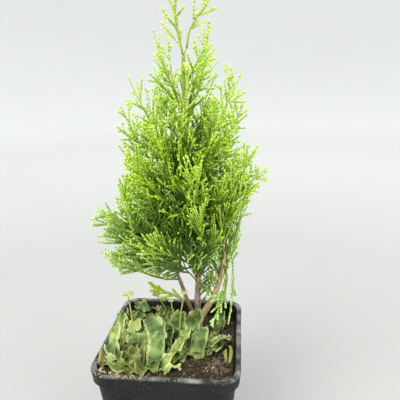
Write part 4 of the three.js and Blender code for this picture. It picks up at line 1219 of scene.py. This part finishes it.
def buildSoil():
    bm = bmesh.new()
    bmesh.ops.create_grid(bm, x_segments=soil["grid"], y_segments=soil["grid"], size=1)
    half = innerHalf(soil["top"]) - soil["clear"]
    for vert in bm.verts:
        x, y = roundedPlace(vert.co.x, vert.co.y, half, soil["corner"])
        vert.co = Vector((x, y, soilHeight(x, y))) * mm
    rim = [edge for edge in bm.edges if edge.is_boundary]
    for height in (soil["waist"], soil["bottom"]):
        ratio = (innerHalf(height) - soil["clear"]) / half
        half = ratio * half
        extruded = bmesh.ops.extrude_edge_only(bm, edges=rim)["geom"]
        rim = [item for item in extruded if isinstance(item, bmesh.types.BMEdge)]
        for vert in {vert for edge in rim for vert in edge.verts}:
            vert.co = Vector((vert.co.x * ratio, vert.co.y * ratio, height * mm))
    bmesh.ops.contextual_create(bm, geom=rim)
    bmesh.ops.recalc_face_normals(bm, faces=bm.faces[:])
    finish = soilFinish("soilPeat", (26, 22, 16), (84, 73, 56), 520)
    piece = addPiece("soilBed", fromBmesh("soilBed", bm), finish)
    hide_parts("root_ball")
    print("soil bed done")


# What lies on the soil, and on the front and left rim: each kind is one shape in one look
clod = {"place": (31, -20), "spread": 3.6, "height": 2.4}
cornerHeap = {"place": (-36, -32), "spread": 6, "height": 0.2}
litter = [
    {"name": "soilCrumbsDark", "shape": "lump", "look": "dark", "count": 5200, "sizes": (0.6, 2.6),
     "seed": 11},
    {"name": "soilCrumbsBrown", "shape": "lump", "look": "brown", "count": 3000, "sizes": (0.4, 1.5),
     "seed": 12},
    {"name": "soilCrumbsPale", "shape": "lump", "look": "pale", "count": 1500, "sizes": (0.3, 1.0),
     "seed": 17},
    {"name": "soilClod", "shape": "lump", "look": "earth", "count": 240, "sizes": (1.1, 2.8), "seed": 18,
     "heap": clod},
    {"name": "clodDark", "shape": "lump", "look": "dark", "count": 170, "sizes": (1.0, 2.6), "seed": 20,
     "heap": clod},
    {"name": "clodPale", "shape": "lump", "look": "pale", "count": 150, "sizes": (0.4, 1.3), "seed": 21,
     "heap": clod},
    {"name": "cornerLitter", "shape": "chip", "look": "pale", "count": 90, "sizes": (0.5, 1.3), "seed": 19,
     "heap": cornerHeap},
    {"name": "barkChips", "shape": "chip", "look": "brown", "count": 240, "sizes": (0.7, 1.5), "seed": 13},
    {"name": "paleChips", "shape": "chip", "look": "pale", "count": 130, "sizes": (0.5, 1.1), "seed": 14},
    {"name": "strawFibres", "shape": "thread", "look": "pale", "count": 90, "sizes": (1.4, 3.2), "seed": 15},
    {"name": "rootFibres", "shape": "thread", "look": "brown", "count": 240, "sizes": (2, 5), "seed": 16},
]
lying = {
    "edge": 2.2, "corner": 8, "clearOfTrunk": 5, "leastSize": 0.5, "sizePower": 3, "tip": 0.5,
    "flat": {"lump": 1, "chip": 0.8, "thread": 0.8}, "sink": {"lump": 0.2, "chip": 0.2, "thread": 0.35},
}
rimLitter = {
    "heaps": [(300, 216, 26), (70, 248.5, 2.2), (34, 277, 3)],  # count, azimuth, spread
    "sizes": (0.35, 1.5), "sunk": 0.25, "lower": 0.5, "corner": 9.8, "across": 0.7, "pale": 0.55, "seed": 41,
}


def framesOf(heading, sideways):
    side = unit(np.cross(heading, sideways))
    return np.stack([side, heading, np.cross(side, heading)], axis=1)


def scatter(kind, shape, faces, finish):
    chance = np.random.default_rng(kind["seed"])
    count, heap = kind["count"], kind.get("heap")
    flat, sink = lying["flat"][kind["shape"]], lying["sink"][kind["shape"]]
    half = innerHalf(soil["top"]) - lying["edge"]
    spots = [roundedPlace(x, y, half, lying["corner"]) for x, y in chance.uniform(-1, 1, (count, 2))]
    if heap:
        offsets = chance.normal(0, heap["spread"], (count, 2))
        spots = np.clip(np.array(heap["place"]) + offsets, -half, half)
    scale = chance.uniform(*kind["sizes"], count)
    scale *= lying["leastSize"] + chance.random(count) ** lying["sizePower"]
    places = np.array([(x, y, soilHeight(x, y)) for x, y in spots])
    places[:, 2] += (0.5 - sink) * scale * flat
    if heap:
        places[:, 2] += heap["height"] * np.exp(-np.sum(offsets ** 2, axis=1) / heap["spread"] ** 2 / 2)
    spin = chance.uniform(0, 2 * math.pi, count)
    lean = chance.uniform(-lying["tip"], lying["tip"], (count, 2)) * flat
    heading = unit(np.stack([np.cos(spin), np.sin(spin), lean[:, 0]], axis=1))
    frames = framesOf(heading, upward + lean[:, :1] * [0.4, 0.3, 0])
    far = np.hypot(*(places[:, :2] - trunkFoot).T) > lying["clearOfTrunk"]
    sizes = np.repeat(scale[far, None], 3, axis=1)
    points, index = copies(shape, faces, places[far], frames[far], sizes)
    addPiece(kind["name"], fromArrays(kind["name"], points, index), finish, smooth=False)


def scatterRim(shape, faces, looks):
    chance = np.random.default_rng(rimLitter["seed"])
    ringHalf = pot["rimHalf"] - pot["rimLip"] / 2
    line = np.array(squareRing(ringHalf, rimLitter["corner"], pot["height"]))
    heaps = [chance.normal(azimuth, spread, count) for count, azimuth, spread in rimLitter["heaps"]]
    wanted = np.radians(np.concatenate(heaps))
    count = len(wanted)
    angles = np.arctan2(line[:, 1], line[:, 0]) % (2 * math.pi)
    nearest = np.abs(angles[None] - wanted[:, None]).argmin(axis=1)
    scale = chance.uniform(*rimLitter["sizes"], count) * (0.5 + 0.5 * chance.random(count) ** 2)
    places = line[nearest] + chance.normal(0, rimLitter["across"], (count, 3)) * [1, 1, 0]
    places[:, 2] += scale * rimLitter["sunk"] - rimLitter["lower"]
    frames = framesOf(unit(chance.normal(size=(count, 3))), upward)
    isPale = chance.random(count) < rimLitter["pale"]
    for look, some in (("Pale", isPale), ("Brown", ~isPale)):
        name = "rimCrumbs" + look
        sizes = np.repeat(scale[some, None], 3, axis=1)
        points, index = copies(shape, faces, places[some], frames[some], sizes)
        addPiece(name, fromArrays(name, points, index), looks[look.lower()], smooth=False)


def buildLitter():
    chance = np.random.default_rng(5)
    lump = unit(chance.normal(size=(13, 3))) * [0.5, 0.62, 0.42]
    chip = np.array([(x * 0.42, y * 1.1, z * 0.12) for x in (-1, 1) for y in (-1, 1) for z in (-1, 1)])
    chip[:4, 1] *= 0.7
    ring = np.array([(0.035, 0, 0), (-0.02, 0, 0.03), (-0.02, 0, -0.03)])
    thread = np.vstack([ring + [0.1, -1, 0], ring + [0, 0, 0.12], ring + [0.12, 1, 0.05]])
    shapes = {"lump": hullShape(lump), "chip": hullShape(chip), "thread": hullShape(thread)}
    grain = 900
    looks = {
        "dark": soilFinish("crumbDark", (30, 25, 18), (84, 72, 55), grain),
        "brown": soilFinish("crumbBrown", (78, 64, 46), (136, 118, 90), grain),
        "pale": soilFinish("crumbPale", (170, 150, 114), (226, 212, 172), grain),
        "earth": soilFinish("crumbEarth", (36, 31, 26), (146, 128, 106), grain),
    }
    for kind in litter:
        scatter(kind, *shapes[kind["shape"]], looks[kind["look"]])
    scatterRim(*shapes["lump"], looks)
    print("soil crumbs and fibres done")


# Liverwort: ribbons and small lobes with ruffled, notched edges, and heads on thin stalks
liverwort = {
    "mat": [(-39.5, -35), (-34, -39.5), (-6, -38), (2, -33), (6, -20), (14, -14), (28, -12), (35, -4),
            (35, 7), (22, 9), (12, 14), (3, 19), (-2, 30), (-8, 37), (-30, 38), (-38.5, 31)],
    "thick": 0.42, "rowLength": 0.8, "fewestRows": 7, "columns": 12, "blunt": 3, "risePower": 1.4,
    "edge": 0.7, "taper": 0.94, "taperPower": 0.6,
    "fold": 0.36, "foldPower": 1.4, "roll": 26, "steepRise": 15, "steepRoll": 0.4, "sway": 0.12,
    "ruffle": 2.6, "ruffleTurn": 0.62, "ruffleEdge": 2.2, "crisp": 0.8, "crispTurn": 1.7, "crispEdge": 3,
    "scallop": 0.17, "scallopTurn": 0.85, "swell": 0.9, "swellTurn": 0.55, "rib": 0.35, "ribSharp": 5,
    "notch": 1.8, "notchFrom": 0.75, "curl": 2.2, "curlFrom": 0.7,
}
# Each ribbon has its foot and its tip on the ground, its rise, arch, width and look
ribbons = [
    ((-6.5, -32), (-19.5, 6), 12, 3.5, 12.5, "sage"),
    ((-5, -30.5), (12.5, 8), 5, 9, 7, "pale"),
    ((-3, -31), (9, -27), 3, 2, 5, "pale"),
    ((3, 8), (3, 15), 19, 0, 12, "sage"),
    ((12.5, 5), (14, 12), 20, 0, 12, "sage"),
    ((18, -13), (17, -1), 11, 1, 13, "sage"),
    ((18, -8), (39, 1), 7, 4, 9, "sage"),
    ((8, -15), (8, -4), 7, 1.5, 8, "olive"),
    ((-22, 34), (-36, 30), 9, 3, 10, "sage"),
    ((-18, 28), (-34, 19), 8, 3, 9, "sage"),
    ((-38.5, -2), (-36.5, 8), 15, 1, 11, "pale"),
    ((-29, -8), (-26, 5), 13, 1.5, 9, "pale"),
    ((-39, -17), (-39.5, -6), 10, 1, 10, "pale"),
    ((-25, -20), (-28, -7), 9, 2, 9, "sage"),
    ((-18.5, -20), (-20, -4), 11, 2, 8, "pale"),
    ((-30, -31), (-37, -17), 6, 3, 9, "sage"),
    ((-12, -33), (-30, -24), 4, 4, 9, "olive"),
    ((-3, -12), (-4, 11), 6, 4, 9, "sage"),
    ((-16, 14), (-11, 29), 6, 3, 9, "olive"),
    ((36.5, -17.5), (37.8, -13), 11, 0.5, 2, "stalk"),
    ((34.5, -16.5), (34, -12.5), 8, 0.5, 1.6, "stalk"),
    ((30, 18), (31, 26), 10, 1, 7, "sage"),
    ((24, 10), (32, 14), 5, 2, 7, "olive"),
    ((-12, 30), (-9, 34.5), 10, 0, 6, "olive"),
    ((-24, -34.5), (-38, -31), 4, 2.4, 8, "sage"),
    ((-17, -34), (-33, -38), 3, 2, 7, "olive"),
    ((-34, -24), (-38.5, -37), 4, 2.4, 7, "brown"),
]
# Small lobes lie low under the ribbons; their many olive and brown looks are partly the plant's own colour
# and partly painted shade on the hidden lobes
lobes = {
    "count": 130, "seed": 23, "reach": 39, "clearOfTrunk": 9, "lengths": (9, 17), "widths": (6, 9),
    "arches": (0.5, 2.8), "leastRise": 0.5, "riseSpread": 3.6,
    "looks": ["sage", "pale", "olive", "brown"], "shares": [0.24, 0.16, 0.38, 0.22],
}
stalk = {
    "half": 0.42, "sides": 8, "points": 14, "headLobes": 9, "lobeDepth": 0.13, "headHeight": 0.6,
    "dish": 0.35,
}
stalks = [
    {"line": [(-29.5, -6, 84.6), (-26.5, -5.5, 104), (-28, -5, 126)], "head": 3.7, "look": "headPale"},
    {"line": [(-9.5, 33, 84.6), (-13, 32, 96), (-18, 31, 106)], "head": 3, "look": "headBrown"},
    {"line": [(-1.5, 14, 84.6), (-3, 16, 98), (-4.5, 17.5, 109)], "head": 2, "look": "headPale"},
    {"line": [(3, 3, 84.6), (4, 3, 104), (7.5, 3, 124)], "head": 2.2, "look": "headPale"},
]


def liverwortFinish(name, light, dark, pale):
    finish = Finish(name, Roughness=0.44, Specular_IOR_Level=0.4)
    flat = finish.node("ShaderNodeTexCoord", output="UV")
    across = finish.node("ShaderNodeSeparateXYZ", None, {"Vector": flat})
    patches = finish.noise(110, 4, 0.6)
    fine = finish.noise(420, 5, 0.65)
    spots = finish.noise(230, 4, 0.7)
    pores = finish.cells(1500)
    margin = finish.math("ABSOLUTE", across - 0.5, 0) * 2 + (patches - 0.5) * 0.8
    base = finish.mix(finish.step(patches * 0.7 + fine * 0.3, 0.4, 0.6), tint(*dark), tint(*light))
    base = finish.mix(finish.step(margin, 0.64, 1.0) * 0.9, base, tint(*pale))
    base = finish.mix(finish.step(spots, 0.56, 0.64) * 0.8, base, tint(96, 84, 44))
    base = finish.mix(finish.step(pores, 0.3, 0.1) * 0.2, base, tint(*pale))
    finish.feed("Base Color", base)
    finish.bump(fine + 0.5 * pores, 0.5, 0.0007)
    return finish


# A wave from -1 to 1 that is steady in part and uneven in part
def wave(place, seed):
    return 0.6 * math.sin(place + 2.1 * seed) + 0.8 * noise.noise(Vector((0.6 * place, 3.1 * seed, 0)))


# A ribbon lies along its run: folded up along a groove, ruffled and scalloped at its edges
def ribbonInto(bm, ribbon, seed):
    foot, tip, height, arch, width, _ = ribbon
    foot = np.array(foot, float)
    run = np.array(tip, float) - foot
    level = np.linalg.norm(run)
    length = math.hypot(level, height)
    ahead = run / level
    across = np.array([ahead[1], -ahead[0]])
    rows = max(liverwort["fewestRows"], round(length / liverwort["rowLength"]))
    uv = bm.loops.layers.uv.verify()
    grid = bmesh.ops.create_grid(bm, x_segments=liverwort["columns"], y_segments=rows, size=0.5)["verts"]
    faces = list({face for vert in grid for face in vert.link_faces})
    for face in faces:
        for loop in face.loops:
            loop[uv].uv = (loop.vert.co.x + 0.5, loop.vert.co.y + 0.5)
    base = max(soil["top"] + 1, soilHeight(*foot) + 0.2)
    limit = innerHalf(pot["height"]) - liverwort["edge"]
    steepness = liverwort["steepRoll"] if height > liverwort["steepRise"] else 1
    roll = math.radians(liverwort["roll"]) * math.sin(2.7 * seed + 1) * steepness
    for vert in grid:
        aside, share = 2 * vert.co.x * (1 if roll > 0 else -1), vert.co.y + 0.5
        spot, edge, arc = share * length, abs(aside), math.sin(math.pi * share)
        hand = seed + (5.3 if aside > 0 else 0)
        fromMiddle = liverwort["taper"] * abs(2 * share - 1)
        half = width / 2 * (1 - fromMiddle ** liverwort["blunt"]) ** liverwort["taperPower"]
        half *= 1 + liverwort["scallop"] * wave(spot * liverwort["scallopTurn"], hand) * edge
        notch = liverwort["notch"] * (1 - edge) ** 2 * ramp(share, liverwort["notchFrom"], 1)
        sway = liverwort["sway"] * length * math.sin(2.2 * share + seed) * arc
        place = foot + run * share - ahead * notch + across * (aside * half * math.cos(roll) + sway)
        rise = height * share ** liverwort["risePower"] + arch * arc
        fold = liverwort["fold"] * edge ** liverwort["foldPower"]
        rise += half * (fold + (1 + aside) * abs(math.sin(roll)))
        ruffle = wave(spot * liverwort["ruffleTurn"], hand + 0.7) * edge ** liverwort["ruffleEdge"]
        crisp = wave(spot * liverwort["crispTurn"], hand + 3.1) * edge ** liverwort["crispEdge"]
        rise += liverwort["ruffle"] * ruffle + liverwort["crisp"] * crisp
        rise += liverwort["swell"] * wave(spot * liverwort["swellTurn"], seed + 9.1)
        rise -= liverwort["rib"] * math.exp(-(aside * liverwort["ribSharp"]) ** 2)
        curl = liverwort["curl"] * ramp(share, liverwort["curlFrom"], 1) ** 2 * math.sin(1.7 * seed)
        x, y = np.clip(place - ahead * abs(curl) * 0.5, -limit, limit)
        vert.co = Vector((x, y, base + rise + 0.5 * curl)) * mm
    bmesh.ops.solidify(bm, geom=faces, thickness=liverwort["thick"] * mm)


def insideMat(x, y):
    corners = liverwort["mat"]
    inside = False
    for (ax, ay), (bx, by) in zip(corners, corners[1:] + corners[:1]):
        if (ay > y) != (by > y) and x < (bx - ax) * (y - ay) / (by - ay) + ax:
            inside = not inside
    return inside


def smallLobes():
    chance = np.random.default_rng(lobes["seed"])
    made = []
    while len(made) < lobes["count"]:
        x, y = chance.uniform(-lobes["reach"], lobes["reach"], 2)
        fromTrunk = math.hypot(x - trunkFoot[0], y - trunkFoot[1])
        if not insideMat(x, y) or fromTrunk < lobes["clearOfTrunk"]:
            continue
        turn, length = chance.uniform(0, 2 * math.pi), chance.uniform(*lobes["lengths"])
        end = (x + length * math.cos(turn), y + length * math.sin(turn))
        if not insideMat(*end):
            continue
        look = str(chance.choice(lobes["looks"], p=lobes["shares"]))
        rise = lobes["leastRise"] + lobes["riseSpread"] * chance.random() ** 2
        arch, width = chance.uniform(*lobes["arches"]), chance.uniform(*lobes["widths"])
        made.append(((x, y), end, rise, arch, width, look))
    return made


def stalkInto(bm, line):
    points = along(denseCurve(line), np.linspace(0, 1, stalk["points"]))
    tubeInto(bm, points, np.full(stalk["points"], stalk["half"]), stalk["sides"])


# A head is a flat dish with a lobed edge
def headInto(bm, top, half, seed):
    for vert in bmesh.ops.create_uvsphere(bm, u_segments=36, v_segments=10, radius=1)["verts"]:
        angle = math.atan2(vert.co.y, vert.co.x)
        uneven = noise.noise(Vector((math.cos(angle), math.sin(angle), seed)))
        lobe = 1 + stalk["lobeDepth"] * math.cos(stalk["headLobes"] * angle) + 0.05 * uneven
        dish = stalk["dish"] * (1 - math.hypot(vert.co.x, vert.co.y)) if vert.co.z > 0 else 0
        across = Vector((vert.co.x, vert.co.y, 0)) * half * lobe
        vert.co = (Vector(top) + across + Vector((0, 0, vert.co.z * stalk["headHeight"] - dish))) * mm


def buildLiverwort():
    looks = {
        "sage": liverwortFinish("liverwortSage", (138, 166, 88), (66, 90, 40), (194, 212, 134)),
        "pale": liverwortFinish("liverwortPale", (176, 198, 104), (112, 136, 62), (224, 236, 158)),
        "olive": liverwortFinish("liverwortOlive", (104, 122, 40), (48, 58, 20), (156, 168, 84)),
        "brown": liverwortFinish("liverwortBrown", (124, 108, 60), (60, 50, 30), (180, 168, 108)),
        "headPale": liverwortFinish("headPale", (186, 186, 112), (150, 152, 74), (212, 212, 142)),
        "headBrown": liverwortFinish("headBrown", (150, 126, 70), (104, 84, 44), (176, 150, 96)),
        "stalk": liverwortFinish("stalkGreen", (184, 196, 98), (134, 146, 62), (190, 200, 110)),
    }
    meshes = {name: bmesh.new() for name in looks}
    for seed, ribbon in enumerate(ribbons + smallLobes()):
        ribbonInto(meshes[ribbon[-1]], ribbon, seed)
    for seed, wanted in enumerate(stalks):
        stalkInto(meshes["stalk"], wanted["line"])
        headInto(meshes[wanted["look"]], wanted["line"][-1], wanted["head"], seed)
    for name, bm in meshes.items():
        bmesh.ops.recalc_face_normals(bm, faces=bm.faces[:])
        title = "liverwort" + name[0].upper() + name[1:]
        piece = addPiece(title, fromBmesh(title, bm), looks[name])
        if name == "sage":
            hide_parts("liverwort")
    print("liverwort ribbons:", len(ribbons), "lobes:", lobes["count"], "stalks:", len(stalks))


# Studio: a pale bowl of a floor, soft lights and a camera where the photograph was taken from
studio = {
    "floorRadius": 1.6, "wallRadius": 2.6, "wallTop": 2.4, "wallSteps": 8, "belowPot": 0.0004, "steps": 64,
    "floorTone": (172, 173, 170), "wallTone": (232, 233, 231), "paleFrom": 0.4, "paleFull": 1.9,
    "sky": (0.96, 0.98, 1, 1), "skyStrength": 0.95, "aim": (0, 0, 0.16),
    "lights": [((-0.6, -0.7, 1.3), 0.9, 19), ((0.95, -0.5, 0.8), 0.9, 7), ((0.1, 0.8, 1.4), 0.8, 11)],
}  # each light has its place, size and power
viewFrom = {"place": (43.9, -229.4, 255.2), "yaw": -6.08, "pitch": 16.23, "roll": 1.24, "lens": 36}


def buildStudio():
    bm = bmesh.new()
    profile = [(0, 0), (studio["floorRadius"], 0)]
    rise = studio["wallRadius"] - studio["floorRadius"]
    for step in range(1, studio["wallSteps"] + 1):
        angle = math.pi / 2 * step / studio["wallSteps"]
        profile.append((studio["floorRadius"] + rise * math.sin(angle), rise * (1 - math.cos(angle))))
    profile.append((studio["wallRadius"], studio["wallTop"]))
    verts = [bm.verts.new((x, 0, z - studio["belowPot"])) for x, z in profile]
    edges = [bm.edges.new(pair) for pair in zip(verts, verts[1:])]
    bmesh.ops.spin(bm, geom=verts + edges, cent=(0, 0, 0), axis=(0, 0, 1), angle=2 * math.pi,
                   steps=studio["steps"], use_merge=True)
    bmesh.ops.remove_doubles(bm, verts=bm.verts[:], dist=0.0001)
    bmesh.ops.recalc_face_normals(bm, faces=bm.faces[:])
    bmesh.ops.reverse_faces(bm, faces=bm.faces[:])
    mesh = fromBmesh("studioFloor", bm)
    floor = bpy.data.objects.new("studioFloor", mesh)
    bpy.context.scene.collection.objects.link(floor)
    finish = Finish("paleFloor", Roughness=0.9)
    reach = finish.node("ShaderNodeVectorMath", {"operation": "LENGTH"}, {0: finish.place}, output="Value")
    backShare = finish.step(reach, studio["paleFrom"], studio["paleFull"])
    finish.feed("Base Color", finish.mix(backShare, tint(*studio["floorTone"]), tint(*studio["wallTone"])))
    mesh.materials.append(finish.material)
    mesh.shade_smooth()
    world = bpy.data.worlds.new("softSky")
    world.use_nodes = True
    sky = world.node_tree.nodes["Background"]
    sky.inputs["Color"].default_value = studio["sky"]
    sky.inputs["Strength"].default_value = studio["skyStrength"]
    bpy.context.scene.world = world
    for order, (place, size, power) in enumerate(studio["lights"]):
        light = bpy.data.lights.new(f"softLight{order + 1}", "AREA")
        light.size, light.energy = size, power
        lamp = bpy.data.objects.new(light.name, light)
        lamp.location = place
        towards = Vector(studio["aim"]) - Vector(place)
        lamp.rotation_euler = towards.to_track_quat("-Z", "Y").to_euler()
        bpy.context.scene.collection.objects.link(lamp)
    bpy.context.scene.view_settings.view_transform = "Standard"
    print("studio ready")


def buildCamera():
    yaw, pitch, roll = [math.radians(viewFrom[key]) for key in ("yaw", "pitch", "roll")]
    forward = np.array([math.sin(yaw) * math.cos(pitch), math.cos(yaw) * math.cos(pitch), -math.sin(pitch)])
    level = np.array([math.cos(yaw), -math.sin(yaw), 0])
    down = np.cross(forward, level)
    right = math.cos(roll) * level + math.sin(roll) * down
    below = -math.sin(roll) * level + math.cos(roll) * down
    camera = bpy.data.objects.new("photoView", bpy.data.cameras.new("photoView"))
    camera.data.sensor_width, camera.data.lens = 36, viewFrom["lens"]
    camera.data.clip_start, camera.data.clip_end = 0.01, 20
    turn = Matrix((right, -below, -forward)).transposed().to_4x4()
    camera.matrix_world = Matrix.Translation(Vector(viewFrom["place"]) * mm) @ turn
    bpy.context.scene.collection.objects.link(camera)
    bpy.context.scene.camera = camera


buildStudio()
buildCamera()
buildPot()
buildSoil()
buildLitter()
buildLiverwort()
buildLimbs()
buildShootStems(stems)
buildFoliage(beads)
